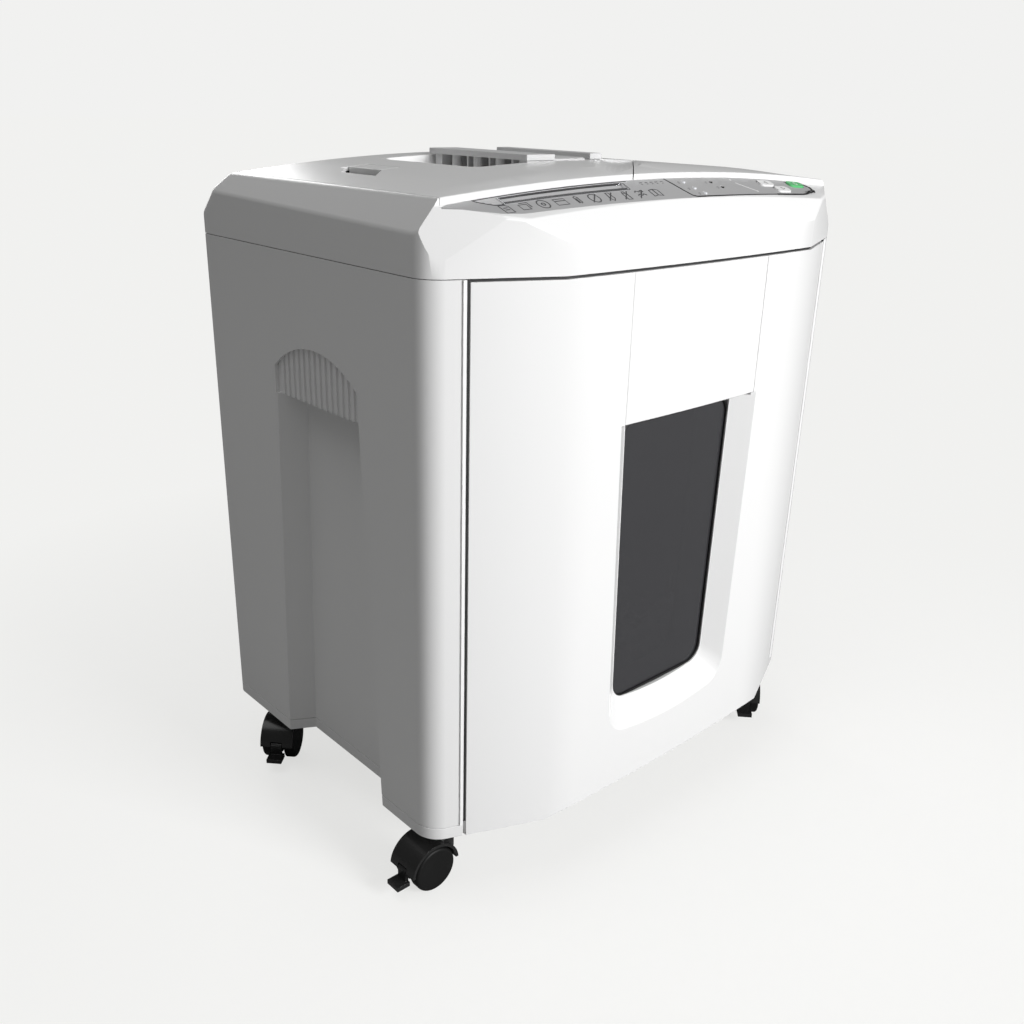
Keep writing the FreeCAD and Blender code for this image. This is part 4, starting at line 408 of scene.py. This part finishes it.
# ------------------------------------------------------------------ pieces
def dress(piece: bpy.types.Object, look: Look) -> None:
    """Gives a piece one finish."""
    piece.data.materials.clear()
    piece.data.materials.append(look.material())


def finish_mesh(bm: bmesh.types.BMesh, name: str, look: Look, body: str,
                sharp: float = 38.0) -> bpy.types.Object:
    """Turns a bmesh into a finished piece that rides on a body.

    Args:
        bm: the shape, in place; it is freed.
        name: the piece's name.
        look: its finish.
        body: the body it rides on.
        sharp: edges over this many degrees stay crisp.

    Returns:
        The new object.
    """
    mesh = bpy.data.meshes.new(name)
    bm.to_mesh(mesh)
    bm.free()
    mesh.shade_smooth()
    mesh.set_sharp_from_angle(angle=math.radians(sharp))
    piece = bpy.data.objects.new(name, mesh)
    bpy.context.scene.collection.objects.link(piece)
    weigh = piece.modifiers.new("face_weights", "WEIGHTED_NORMAL")
    weigh.keep_sharp = True
    dress(piece, look)
    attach(piece, body)
    return piece


def body_of(node: str) -> str:
    """The body that a CAD node belongs to."""
    return frame["nodes"][node]["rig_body"]


@dataclass(frozen=True)
class SoftEdges:
    """Copies a CAD node with its edges rounded, and stands in for it."""

    width: float
    segments: int = 3
    above: float = 24.0

    def apply(self, node: str, look: Look) -> bpy.types.Object:
        """Builds the rounded piece.

        Args:
            node: the CAD node it stands for.
            look: its finish.

        Returns:
            The new object.
        """
        bm = bmesh.new()
        bm.from_mesh(frame["nodes"][node].data)
        bmesh.ops.remove_doubles(bm, verts=bm.verts[:], dist=MERGE)
        bmesh.ops.dissolve_limit(bm, angle_limit=math.radians(FLAT), use_dissolve_boundaries=False,
                                 verts=bm.verts[:], edges=bm.edges[:])
        limit = math.radians(self.above)
        edges = [edge for edge in bm.edges if edge.is_manifold and edge.calc_face_angle(0.0) > limit]
        bmesh.ops.bevel(bm, geom=edges, offset=self.width, offset_type="OFFSET", segments=self.segments,
                        profile=0.5, affect="EDGES", clamp_overlap=True, material=-1)
        piece = finish_mesh(bm, node + "_rounded", look, body_of(node))
        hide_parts(node)
        return piece


def surface_at(node: str, x: float, y: float) -> tuple[Vector, Vector]:
    """The top of a CAD node over one place.

    Args:
        node: the CAD node.
        x: place along X in metres.
        y: place along Y in metres.

    Returns:
        The point on the surface and its normal, or the nearest point's height where nothing is hit.
    """
    if node not in TREES:
        mesh = frame["nodes"][node].data
        corners = [vertex.co for vertex in mesh.vertices]
        TREES[node] = BVHTree.FromPolygons(corners, [face.vertices[:] for face in mesh.polygons])
    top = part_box(node)[1][2]
    point, normal, _, _ = TREES[node].ray_cast(Vector((x, y, top + LOOK_FROM)), Vector((0.0, 0.0, -1.0)))
    if point is None:
        near, normal, _, _ = TREES[node].find_nearest(Vector((x, y, top)))
        point = Vector((x, y, near.z))
        normal = Vector((0.0, 0.0, 1.0))
    return point, normal if normal.z > 0 else -normal


def onto(point: Vector, normal: Vector, turn: float = 0.0) -> Matrix:
    """A placement whose Z is the normal and whose X stays level."""
    across = Vector((normal.z, 0.0, -normal.x)).normalized()
    along = normal.cross(across)
    axes = Matrix((across, along, normal)).transposed().to_4x4()
    return Matrix.Translation(point) @ axes @ Matrix.Rotation(turn, 4, "Z")


def block(bm: bmesh.types.BMesh, low: Sequence[float], high: Sequence[float], place: Matrix | None = None,
          bevel: float = 0.0, segments: int = 2) -> None:
    """Adds a rounded block to a bmesh.

    Args:
        bm: the bmesh.
        low: its lowest corner.
        high: its highest corner.
        place: where the block goes; its own axes if left out.
        bevel: radius of its edges.
        segments: faces across each rounded edge.
    """
    size = [b - a for a, b in zip(low, high)]
    middle = [(a + b) / 2 for a, b in zip(low, high)]
    matrix = (place or Matrix.Identity(4)) @ Matrix.Translation(middle) @ Matrix.Diagonal((*size, 1.0))
    made = bmesh.ops.create_cube(bm, size=1.0, matrix=matrix)
    if bevel:
        edges = list(dict.fromkeys(edge for vertex in made["verts"] for edge in vertex.link_edges))
        bmesh.ops.bevel(bm, geom=edges, offset=bevel, offset_type="OFFSET", segments=segments, profile=0.5,
                        affect="EDGES", clamp_overlap=True, material=-1)


def skin(bm: bmesh.types.BMesh, rows: Sequence[list[bmesh.types.BMVert]],
         closed: bool) -> list[bmesh.types.BMFace]:
    """Joins rows of four vertices along a run with faces.

    Args:
        bm: the bmesh.
        rows: the vertices, row after row.
        closed: the last row joins the first.

    Returns:
        The new faces.
    """
    faces = []
    for index in range(len(rows) if closed else len(rows) - 1):
        here, there = rows[index], rows[(index + 1) % len(rows)]
        for k in range(4):
            faces.append(bm.faces.new((here[k], here[(k + 1) % 4], there[(k + 1) % 4], there[k])))
    return faces


def capped(bm: bmesh.types.BMesh, rows: Sequence[list[bmesh.types.BMVert]]) -> None:
    """Joins rows of four vertices into a bar with closed ends."""
    skin(bm, rows, False)
    bm.faces.new(rows[0])
    bm.faces.new(list(reversed(rows[-1])))
    bmesh.ops.recalc_face_normals(bm, faces=bm.faces[:])


def trace(bm: bmesh.types.BMesh, node: str, path: Path, width: float,
          closed: bool = False, rise: float = 0.00012, sink: float = 0.0003) -> None:
    """Lays a flat line of print over a CAD node's top, following its slope.

    Args:
        bm: the bmesh.
        node: the CAD node that the line lies on.
        path: its points in millimetres over the XY plane.
        width: its width in millimetres.
        closed: the line ends where it starts.
        rise: how far it stands out, in metres.
        sink: how deep its foot goes, in metres.
    """
    count = len(path)
    rows = []
    for index, (x, y) in enumerate(path):
        before = path[index - 1] if index or closed else path[index]
        after = path[(index + 1) % count] if index + 1 < count or closed else path[index]
        along = Vector((after[0] - before[0], after[1] - before[1], 0.0))
        if along.length < 1e-6:
            along = Vector((1.0, 0.0, 0.0))
        side = Vector((-along.y, along.x, 0.0)).normalized() * (width * MM / 2)
        point, normal = surface_at(node, x * MM, y * MM)
        side = side - normal * side.dot(normal)
        rows.append([bm.verts.new(point + side * sign + normal * lift)
                     for sign, lift in ((-1, -sink), (1, -sink), (1, rise), (-1, rise))])
    faces = skin(bm, rows, closed)
    if not closed:
        faces.append(bm.faces.new(list(reversed(rows[0]))))
        faces.append(bm.faces.new(rows[-1]))
    bmesh.ops.recalc_face_normals(bm, faces=faces)


def fine(path: Path, step: float = 4.0) -> list[tuple[float, float]]:
    """Adds points to a path so that no run is longer than the step."""
    points = [path[0]]
    for (x0, y0), (x1, y1) in zip(path, path[1:]):
        runs = max(1, math.ceil(math.hypot(x1 - x0, y1 - y0) / step))
        points += [(x0 + (x1 - x0) * k / runs, y0 + (y1 - y0) * k / runs) for k in range(1, runs + 1)]
    return points


def round_path(x: float, y: float, radius: float, sides: int = 16) -> list[tuple[float, float]]:
    """A circle's points."""
    return [(x + radius * math.cos(2 * math.pi * k / sides), y + radius * math.sin(2 * math.pi * k / sides))
            for k in range(sides)]


# ------------------------------------------------------------------ sub-assemblies
@dataclass
class Rounded:
    """A group of CAD pieces that get rounded edges and a finish."""

    soft: dict[str, tuple[SoftEdges, Look]] = field(default_factory=dict)

    def build(self) -> None:
        """Rounds and dresses the group's pieces."""
        for node, (edges, look) in self.soft.items():
            edges.apply(node, look)
            LOG.info("rounded: %s", node)


@dataclass
class Cabinet(Rounded):
    """Side panels, rear panel, base, door and the pieces behind them."""

    soft: dict[str, tuple[SoftEdges, Look]] = field(default_factory=lambda: {
        "left_side_panel": (SoftEdges(0.0006), Look.SHELL),
        "right_side_panel": (SoftEdges(0.0006), Look.SHELL),
        "rear_panel": (SoftEdges(0.0005, 2), Look.SHELL),
        "base_moulding": (SoftEdges(0.0006), Look.SHELL),
        "door_shell": (SoftEdges(0.0008), Look.SHELL),
        "door_centre_panel": (SoftEdges(0.0007), Look.SHELL),
        "inner_deck": (SoftEdges(0.0005, 2), Look.ZINC),
    })


@dataclass
class Head(Rounded):
    """Head cover, lid, dish, bridge and catch."""

    soft: dict[str, tuple[SoftEdges, Look]] = field(default_factory=lambda: {
        "head_cover": (SoftEdges(0.0008), Look.SHELL),
        "feed_lid": (SoftEdges(0.0006), Look.SHELL),
        "grip_dish": (SoftEdges(0.0005), Look.SHELL),
        "grip_bridge": (SoftEdges(0.0008), Look.BRIDGE),
        # The latch cup's near-black finish is painted shade in its recess.
        "latch_cup": (SoftEdges(0.0004), Look.DARK),
        "lid_latch": (SoftEdges(0.0006), Look.SHELL),
        "control_strip": (SoftEdges(0.0004), Look.STRIP),
        "slot_lip": (SoftEdges(0.0003, 2), Look.TRIM),
    })


@dataclass
class Strip:
    """What is printed and set into the control strip."""

    node: str = "control_strip"
    icon_y: float = -141.2
    icon_scale: float = 1.32
    icon_line: float = 0.95
    small_xs: tuple[float, ...] = (-32.0, -26.0, -20.5, -15.0, -9.0)
    lamp_marks: tuple[tuple[float, float], ...] = (
        (9.5, -130.6), (12.5, -138.6), (17.5, -145.0), (41.5, -131.4), (48.0, -138.2))
    lit_to_x: float = 0.035
    slope_left: float = -169.4
    slope_long: float = 116.8
    slope_rear: float = -127.4
    slope_front: float = -132.2
    slope_steps: int = 30
    icon_xs: tuple[float, ...] = (-173.0, -157.0, -141.0, -125.0, -109.0, -93.0, -77.0, -61.0, -45.0, -29.0)

    def shapes(self) -> list[list[Line]]:
        """Generic symbols as closed or open lines in a box of about 8 mm."""
        page = (True, [(-2.6, -3.6), (2.6, -3.6), (2.6, 2.0), (1.0, 3.6), (-2.6, 3.6)])
        slash = (False, [(-3.6, -3.4), (3.6, 3.4)])
        ring_line = (True, round_path(0.0, 0.0, 3.6))
        sheets = [(True, [(-3.4, -2.8), (1.8, -2.8), (1.8, 1.8), (-3.4, 1.8)]),
                  (False, [(-1.8, 3.2), (3.4, 3.2), (3.4, -1.2)])]
        card = [(True, [(-3.8, -2.6), (3.8, -2.6), (3.8, 2.6), (-3.8, 2.6)]),
                (False, [(-3.8, 0.9), (3.8, 0.9)])]
        clip = (False, [(-1.2, -2.8), (-1.2, 2.4), (0.0, 3.4), (1.2, 2.4), (1.2, -2.2), (0.4, -2.9),
                        (-0.3, -2.2), (-0.3, 1.6)])
        pin = (True, [(-1.0, 3.4), (1.0, 3.4), (1.8, -1.6), (0.0, -3.6), (-1.8, -1.6)])
        bottle = [(True, [(-1.6, -3.6), (1.6, -3.6), (1.6, 1.6), (-1.6, 1.6)]),
                  (False, [(-0.8, 1.6), (-0.8, 3.2), (0.8, 3.2), (0.8, 1.6)])]
        waves = [(False, [(-3.4, 1.8), (-1.7, 3.0), (0.0, 1.8), (1.7, 3.0), (3.4, 1.8)]),
                 (False, [(-3.4, -1.2), (-1.7, 0.0), (0.0, -1.2), (1.7, 0.0), (3.4, -1.2)])]
        booklet = [(True, [(-3.6, -2.6), (0.0, -1.8), (3.6, -2.6), (3.6, 2.6), (0.0, 3.4), (-3.6, 2.6)]),
                   (False, [(0.0, -1.8), (0.0, 3.4)])]
        return [
            [page, (False, [(-1.4, 1.0), (1.4, 1.0)]), (False, [(-1.4, -0.8), (1.4, -0.8)])],
            sheets,
            [ring_line, (True, round_path(0.0, 0.0, 1.1, 8))],
            card,
            [clip],
            [ring_line, slash],
            [pin, slash],
            [*bottle, slash],
            [*waves, slash],
            booklet,
        ]

    def icons(self) -> None:
        """The row of symbols under the slot, the small marks right of it and those by the lamps."""
        bm = bmesh.new()
        for x, lines in zip(self.icon_xs, self.shapes()):
            for closed, line in lines:
                path = [(x + u * self.icon_scale, self.icon_y + v * self.icon_scale) for u, v in line]
                trace(bm, self.node, path, self.icon_line, closed)
        for x in self.small_xs:
            trace(bm, self.node, [(x - 1.4, -128.4), (x + 1.4, -128.4)], 0.7)
            trace(bm, self.node, [(x - 1.0, -130.2), (x + 0.6, -130.2)], 0.5)
        for x, y in self.lamp_marks:
            trace(bm, self.node, [(x - 1.8, y + 0.8), (x + 0.4, y + 0.8)], 0.45)
            trace(bm, self.node, [(x - 1.8, y - 0.6), (x - 0.2, y - 0.6)], 0.45)
        finish_mesh(bm, "printed_symbols", Look.PRINT, "cabinet")

    def shade_lines(self) -> None:
        """Near-black lines of painted shade: the groove round the lamp and key field that parts it from the
        slot field, a wider one under and right of the keys, and one along the rear and left edges of the slot
        field.
        """
        bm = bmesh.new()
        line = [(-3.0, -125.2), (0.0, -131.0), (3.5, -140.0), (6.6, -146.6), (10.5, -148.2), (40.0, -148.4),
                (90.0, -148.4), (149.0, -148.4), (160.0, -146.2), (171.4, -143.5), (178.2, -134.8),
                (171.8, -125.4)]
        trace(bm, self.node, fine(line), 1.3, rise=0.0002)
        rim = [(112.0, -148.7), (149.0, -148.7), (160.0, -146.8), (172.0, -144.0), (178.4, -134.9),
               (172.2, -125.4)]
        trace(bm, self.node, fine(rim), 2.0, rise=0.0004)
        edge = [(-45.0, -125.5), (-189.0, -125.5), (-187.0, -128.2), (-182.0, -132.4), (-177.5, -135.2),
                (-170.6, -136.2)]
        trace(bm, self.node, fine(edge, 3.0), 0.8, rise=0.0002)
        finish_mesh(bm, "field_groove_shade", Look.DARK, "cabinet")

    def ramp(self) -> None:
        """The paler lead-in behind and beside the disc slot."""
        bm = bmesh.new()
        trace(bm, self.node, fine([(-187.0, -126.6), (-45.0, -126.6)], 3.0), 1.0)
        trace(bm, self.node, [(-186.5, -128.2), (-171.5, -128.2)], 2.6)
        trace(bm, self.node, [(-182.5, -130.6), (-171.5, -130.6)], 2.4)
        trace(bm, self.node, [(-178.5, -132.9), (-171.5, -132.9)], 2.4)
        finish_mesh(bm, "slot_lead_in", Look.RAMP, "cabinet")
        self.flap()
        bm = bmesh.new()
        trace(bm, self.node, fine([(-172.0, -135.3), (-51.0, -135.3)], 3.0), 0.9, rise=0.0003)
        trace(bm, self.node, [(-50.6, -135.4), (-50.6, -127.4)], 1.0, rise=0.0003)
        finish_mesh(bm, "slot_edge_trim", Look.TRIM, "cabinet")

    def flap(self) -> None:
        """The sloping rear wall of the disc slot, which leaves the disc's own gap open at the front."""
        bm = bmesh.new()
        rows = []
        for k in range(self.slope_steps + 1):
            x = (self.slope_left + self.slope_long * k / self.slope_steps) * MM
            rear, _ = surface_at(self.node, x, (self.slope_rear + 0.8) * MM)
            front, _ = surface_at(self.node, x, (self.slope_front - 3.4) * MM)
            rows.append([bm.verts.new(spot) for spot in (
                (x, self.slope_rear * MM, rear.z - 0.0004), (x, self.slope_front * MM, front.z - 0.0012),
                (x, self.slope_front * MM, front.z - 0.0022), (x, self.slope_rear * MM, rear.z - 0.0030))])
        capped(bm, rows)
        finish_mesh(bm, "slot_rear_slope", Look.STRIP, "cabinet")

    def pale_marks(self) -> None:
        """The pale dot and the pale bar between the lamps and the keys."""
        bm = bmesh.new()
        trace(bm, self.node, round_path(75.5, -127.8, 0.5, 12), 1.0, True)
        trace(bm, self.node, fine([(76.7, -132.0), (91.0, -143.4)], 2.0), 1.1)
        trace(bm, self.node, round_path(91.4, -143.7, 0.5, 12), 1.2, True)
        finish_mesh(bm, "pale_marks", Look.PRINT_PALE, "cabinet")

    def legends(self) -> None:
        """Arrows on the two white keys and the on mark on the green one."""
        circle = round_path(160.0, -132.2, 1.9)
        marks = {
            "reverse_button": (Look.PRINT, [(True, [(114.4, -132.5), (118.4, -134.2), (118.4, -130.8)])]),
            "forward_button": (Look.PRINT, [(True, [(131.8, -141.5), (127.8, -143.2), (127.8, -139.8)])]),
            "power_button": (Look.PRINT_PALE, [(False, circle[5:] + circle[:4]),
                                               (False, [(160.0, -131.8), (160.0, -129.6)])]),
        }
        for node, (look, lines) in marks.items():
            bm = bmesh.new()
            for closed, line in lines:
                trace(bm, node, line, 0.55, closed)
            finish_mesh(bm, node + "_legend", look, body_of(node))

    def lamps(self) -> None:
        """Three lit lenses and two dark ones."""
        piece = frame["nodes"]["indicator_lamps"]
        dress(piece, Look.LAMP)
        piece.data.materials.append(Look.LAMP_OFF.material())
        for face in piece.data.polygons:
            face.material_index = 1 if face.center.x > self.lit_to_x else 0

    def build(self) -> None:
        """Prints and fits the strip."""
        self.icons()
        self.shade_lines()
        self.ramp()
        self.pale_marks()
        self.legends()
        self.lamps()


@dataclass
class Window:
    """The smoked window's gasket and the shreds that show behind it."""

    top: float = 0.370
    foot: float = 0.125
    half_top: float = 0.0645
    half_foot: float = 0.058
    corner: float = 0.016
    shreds: int = 170
    shred_half_width: float = 0.0019
    shred_thick: float = 0.0002
    shred_steps: int = 6
    seed: int = 7
    bead: tuple[tuple[float, float], ...] = (
        (-0.0008, 0.0), (-0.0008, 0.0012), (0.0004, 0.0018), (0.0016, 0.0012), (0.0016, 0.0))

    def outline(self, inset: float, steps: int = 8) -> list[tuple[float, float]]:
        """The window's rounded outline as (x, z) points."""
        corners = [(self.half_foot - inset, self.foot + inset), (self.half_top - inset, self.top - inset),
                   (inset - self.half_top, self.top - inset), (inset - self.half_foot, self.foot + inset)]
        points = []
        radius = self.corner - inset
        for index, (x, z) in enumerate(corners):
            centre = Vector((x - math.copysign(radius, x), z + (radius if z < 0.2 else -radius)))
            start = (-90.0, 0.0, 90.0, 180.0)[index]
            points += [(centre.x + radius * math.cos(math.radians(start + 90.0 * k / steps)),
                        centre.y + radius * math.sin(math.radians(start + 90.0 * k / steps)))
                       for k in range(steps + 1)]
        return points

    def gasket(self) -> None:
        """A black rubber bead round the pane."""
        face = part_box("window_pane")[0][1] - 0.0002
        bm = bmesh.new()
        rows = []
        for inset, lift in self.bead:
            rows.append([bm.verts.new((x, face - lift, z)) for x, z in self.outline(inset)])
        count = len(rows[0])
        for index in range(len(rows)):
            here, there = rows[index], rows[(index + 1) % len(rows)]
            for k in range(count):
                bm.faces.new((here[k], here[(k + 1) % count], there[(k + 1) % count], there[k]))
        bmesh.ops.recalc_face_normals(bm, faces=bm.faces[:])
        finish_mesh(bm, "window_gasket", Look.TREAD, "waste_bin")

    def paper(self) -> None:
        """Curled paper shreds lying low in the tub."""
        chance = random.Random(self.seed)
        bm = bmesh.new()
        low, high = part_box("waste_tub")
        for _ in range(self.shreds):
            x = chance.uniform(low[0] + 0.02, high[0] - 0.02)
            y = chance.uniform(low[1] + 0.02, low[1] + 0.16)
            z = low[2] + 0.008 + abs(chance.gauss(0.0, 0.022)) * (1.6 - 2.4 * (x - low[0]))
            turn = Matrix.Rotation(chance.uniform(0.0, math.tau), 3, "Z")
            tilt = Matrix.Rotation(chance.uniform(-0.5, 0.5), 3, "Y")
            curl = chance.uniform(0.012, 0.04) * chance.choice((-1.0, 1.0))
            length = chance.uniform(0.022, 0.04)
            rows = []
            middle = Vector((x, y, max(z, low[2] + 0.006)))
            for step in range(self.shred_steps + 1):
                run = length * (step / self.shred_steps - 0.5)
                bend = run * run / curl
                for side in (-1, 1):
                    for lift in (0.0, self.shred_thick):
                        spot = turn @ tilt @ Vector((run, side * self.shred_half_width, bend + lift)) + middle
                        spot.z = max(spot.z, low[2] + 0.004 + lift)
                        rows.append(bm.verts.new(spot))
            for step in range(self.shred_steps):
                a, b = rows[step * 4: step * 4 + 4], rows[step * 4 + 4: step * 4 + 8]
                for i, j in ((0, 2), (2, 3), (3, 1), (1, 0)):
                    bm.faces.new((a[i], a[j], b[j], b[i]))
            bm.faces.new((rows[0], rows[1], rows[3], rows[2]))
            bm.faces.new((rows[-4], rows[-2], rows[-1], rows[-3]))
        bmesh.ops.recalc_face_normals(bm, faces=bm.faces[:])
        finish_mesh(bm, "paper_shreds", Look.PAPER, "waste_bin")

    def build(self) -> None:
        """Builds the gasket and the shreds."""
        self.gasket()
        self.paper()


@dataclass
class DoorGapShade:
    """Near-black strips of painted shade that fill the gaps round the door."""

    facet_half: float = 141.5
    door_half: float = 201.7
    front: float = -167.0
    bow: float = 4.0
    setback: float = 26.2
    upright_low: tuple[float, float, float] = (-0.0010, 0.0008, 0.067)
    upright_high: tuple[float, float, float] = (0.0010, 0.0038, 0.4835)
    top_low: float = 0.48205
    top_high: float = 0.48385

    def line(self, inset: float) -> list[tuple[float, float]]:
        """The door's plan line, moved inwards, as (x, y) points in millimetres."""
        points = [(-self.door_half, self.front + self.setback + inset)]
        for k in range(21):
            x = self.facet_half * (k / 10 - 1)
            points.append((x, self.front - self.bow * (1 - (x / self.facet_half) ** 2) + inset))
        points.append((self.door_half, self.front + self.setback + inset))
        return points

    def build(self) -> None:
        """Builds the two upright strips of painted shade and the one over the door."""
        bm = bmesh.new()
        slope = math.atan2(self.setback, self.door_half - self.facet_half)
        for side in (-1, 1):
            centre = Vector((side * (self.door_half + 1.0) * MM, (self.front + self.setback + 0.45) * MM, 0.0))
            place = Matrix.Translation(centre) @ Matrix.Rotation(side * slope, 4, "Z")
            block(bm, self.upright_low, self.upright_high, place, 0.0002)
        rows = []
        for (x, y0), (_, y1) in zip(self.line(2.2), self.line(5.0)):
            rows.append([bm.verts.new((x * MM, y * MM, z)) for y, z in
                         ((y0, self.top_low), (y1, self.top_low), (y1, self.top_high), (y0, self.top_high))])
        capped(bm, rows)
        finish_mesh(bm, "door_gap_shade", Look.DARK, "cabinet")


@dataclass
class Casters:
    """Hoods, twin wheels and brake pedals."""

    names: tuple[str, ...] = ("front_left", "front_right", "rear_left", "rear_right")

    def build(self) -> None:
        """Rounds each caster's moulded edges."""
        for name in self.names:
            SoftEdges(0.0009).apply(name + "_caster_hood", Look.BLACK)
            SoftEdges(0.0006).apply(name + "_caster_wheels", Look.TREAD)
            SoftEdges(0.0007).apply(name + "_caster_brake", Look.BLACK)


@dataclass
class Plain:
    """CAD pieces that keep their own shape, with finer edges, and get a finish."""

    looks: dict[str, Look] = field(default_factory=lambda: {
        "window_pane": Look.PANE,
        "lid_hinge_pins": Look.STEEL, "cutter_bushes": Look.GEARS, "tie_rods": Look.ZINC,
        "front_cutter_shaft": Look.STEEL, "rear_cutter_shaft": Look.STEEL,
        "front_cutter_gear": Look.GEARS, "rear_cutter_gear": Look.GEARS, "feed_gear": Look.GEARS,
        "reduction_gear": Look.GEARS, "motor_pinion": Look.GEARS,
        "front_stripper_comb": Look.BLACK, "rear_stripper_comb": Look.BLACK,
        "board_posts": Look.BLACK, "case_screws": Look.ZINC,
    })
    soft: dict[str, tuple[float, Look]] = field(default_factory=lambda: {
        "reverse_button": (0.0006, Look.WHITE_KEY), "forward_button": (0.0006, Look.WHITE_KEY),
        "power_button": (0.0008, Look.GREEN_KEY), "cable_gland": (0.0005, Look.BLACK),
        "bin_runners": (0.0005, Look.BLACK), "waste_tub": (0.0007, Look.TUB),
        "left_end_plate": (0.0004, Look.ZINC), "right_end_plate": (0.0004, Look.ZINC),
        "gear_bracket": (0.0004, Look.ZINC), "drive_motor": (0.0012, Look.MOTOR),
        "paper_tray": (0.0005, Look.TUB), "pickup_roller": (0.0005, Look.ROLLER),
        "roller_hangers": (0.0004, Look.ZINC), "control_board": (0.0003, Look.BOARD),
        "power_board": (0.0003, Look.BOARD), "presser_plate": (0.0005, Look.ROLLER),
    })

    def smooth(self) -> None:
        """Rounds the moulded and pressed pieces."""
        for node, (width, look) in self.soft.items():
            SoftEdges(width, 2).apply(node, look)

    def build(self) -> None:
        """Rounds some pieces and dresses the rest."""
        self.smooth()
        for name, piece in frame["nodes"].items():
            if name in self.looks:
                dress(piece, self.looks[name])


@dataclass
class Stage:
    """Floor, lights and camera."""

    azimuth: float = 42.65
    elevation: float = 21.53
    roll: float = 1.47
    place: tuple[float, float, float] = (-0.6256, -0.6446, 0.5864)
    lens: float = 36.23
    floor_glow: float = 0.67
    background: float = 0.88
    surround_cast: float = 0.16
    floor_colour: Colour = (0.30, 0.30, 0.298, 1.0)
    glow_colour: Colour = (1.0, 1.0, 0.985, 1.0)
    fade_from: float = 0.35
    fade_to: float = 0.85
    # Each lamp's name, place, aim, size in metres and power in watts.
    lamps: tuple[tuple[str, tuple[float, ...], tuple[float, ...], float, float], ...] = (
        ("key", (0.50, -2.5, 1.15), (0.0, -0.1, 0.3), 1.0, 72.0),
        ("top", (-0.7, 0.3, 2.2), (0.0, 0.0, 0.3), 1.4, 9.0),
        ("back_fill", (0.5, 2.6, 1.3), (0.0, 0.1, 0.25), 1.4, 16.0),
    )

    def floor(self) -> None:
        """A wide pale floor."""
        bm = bmesh.new()
        bmesh.ops.create_grid(bm, x_segments=1, y_segments=1, size=30.0)
        mesh = bpy.data.meshes.new("floor")
        bm.to_mesh(mesh)
        bm.free()
        floor = bpy.data.objects.new("floor", mesh)
        bpy.context.scene.collection.objects.link(floor)
        material = bpy.data.materials.new("floor_paper")
        material.use_nodes = True
        tree = Tree(material.node_tree)
        shader = material.node_tree.nodes["Principled BSDF"]
        shader.inputs["Base Color"].default_value = self.floor_colour
        shader.inputs["Roughness"].default_value = 0.9
        shader.inputs["Specular IOR Level"].default_value = 0.0
        shader.inputs["Emission Color"].default_value = self.glow_colour
        seen = tree.add("ShaderNodeLightPath").outputs["Is Camera Ray"]
        where = tree.add("ShaderNodeTexCoord").outputs["Object"]
        span = tree.add("ShaderNodeVectorMath", operation="LENGTH")
        tree.link(where, span.inputs[0])
        far = tree.ramp(span.outputs["Value"], self.fade_from, self.fade_to)
        paper = tree.math("ADD", tree.math("MULTIPLY", tree.noise(where, 60.0, 4.0), 0.01), self.floor_glow)
        tree.link(tree.math("MULTIPLY", seen, paper), shader.inputs["Emission Strength"])
        plain = tree.add("ShaderNodeEmission", Color=self.glow_colour, Strength=self.background)
        mixed = tree.add("ShaderNodeMixShader")
        tree.link(tree.math("MULTIPLY", far, seen), mixed.inputs["Fac"])
        tree.link(shader.outputs["BSDF"], mixed.inputs[1])
        tree.link(plain.outputs["Emission"], mixed.inputs[2])
        tree.link(mixed.outputs["Shader"], material.node_tree.nodes["Material Output"].inputs["Surface"])
        mesh.materials.append(material)

    def area(self, name: str, place: Sequence[float], aim: Sequence[float], size: float, power: float) -> None:
        """Adds a soft square lamp that points at a place."""
        light = bpy.data.lights.new(name, "AREA")
        light.size = size
        light.energy = power
        lamp = bpy.data.objects.new(name, light)
        lamp.location = place
        lamp.rotation_euler = (Vector(aim) - Vector(place)).to_track_quat("-Z", "Y").to_euler()
        bpy.context.scene.collection.objects.link(lamp)

    def world(self, seen: float, cast: float) -> None:
        """An even pale surround.

        Args:
            seen: its level where it is looked at.
            cast: its level as a light.
        """
        world = bpy.data.worlds.new("surround")
        bpy.context.scene.world = world
        world.use_nodes = True
        tree = Tree(world.node_tree)
        shade = world.node_tree.nodes["Background"]
        shade.inputs["Color"].default_value = (1.0, 1.0, 0.99, 1.0)
        looked_at = tree.add("ShaderNodeLightPath").outputs["Is Camera Ray"]
        level = tree.math("ADD", tree.math("MULTIPLY", looked_at, seen - cast), cast)
        tree.link(level, shade.inputs["Strength"])

    def camera(self) -> None:
        """The camera, at the height and turn that show the front and the left side."""
        turn, tilt, roll = (math.radians(a) for a in (self.azimuth, self.elevation, self.roll))
        ahead = Vector((math.sin(turn) * math.cos(tilt), math.cos(turn) * math.cos(tilt), -math.sin(tilt)))
        level = Vector((math.cos(turn), -math.sin(turn), 0.0))
        rise = level.cross(ahead)
        right = level * math.cos(roll) + rise * math.sin(roll)
        up = right.cross(ahead)
        data = bpy.data.cameras.new("camera")
        data.lens = self.lens
        data.sensor_width = 36.0
        data.clip_end = 100.0
        camera = bpy.data.objects.new("camera", data)
        camera.matrix_world = Matrix.Translation(self.place) @ Matrix((right, up, -ahead)).transposed().to_4x4()
        bpy.context.scene.collection.objects.link(camera)
        bpy.context.scene.camera = camera

    def build(self) -> None:
        """Sets the stage."""
        self.floor()
        self.world(self.background, self.surround_cast)
        for name, place, aim, size, power in self.lamps:
            self.area(name, place, aim, size, power)
        self.camera()
        bpy.context.scene.view_settings.view_transform = "Standard"


def main() -> None:
    """Builds the machine piece by piece and sets the stage."""
    logging.basicConfig(level=logging.INFO, format="%(message)s")
    Cabinet().build()
    Head().build()
    Strip().build()
    Window().build()
    DoorGapShade().build()
    Casters().build()
    Plain().build()
    Stage().build()


if __name__ == "__main__":
    main()
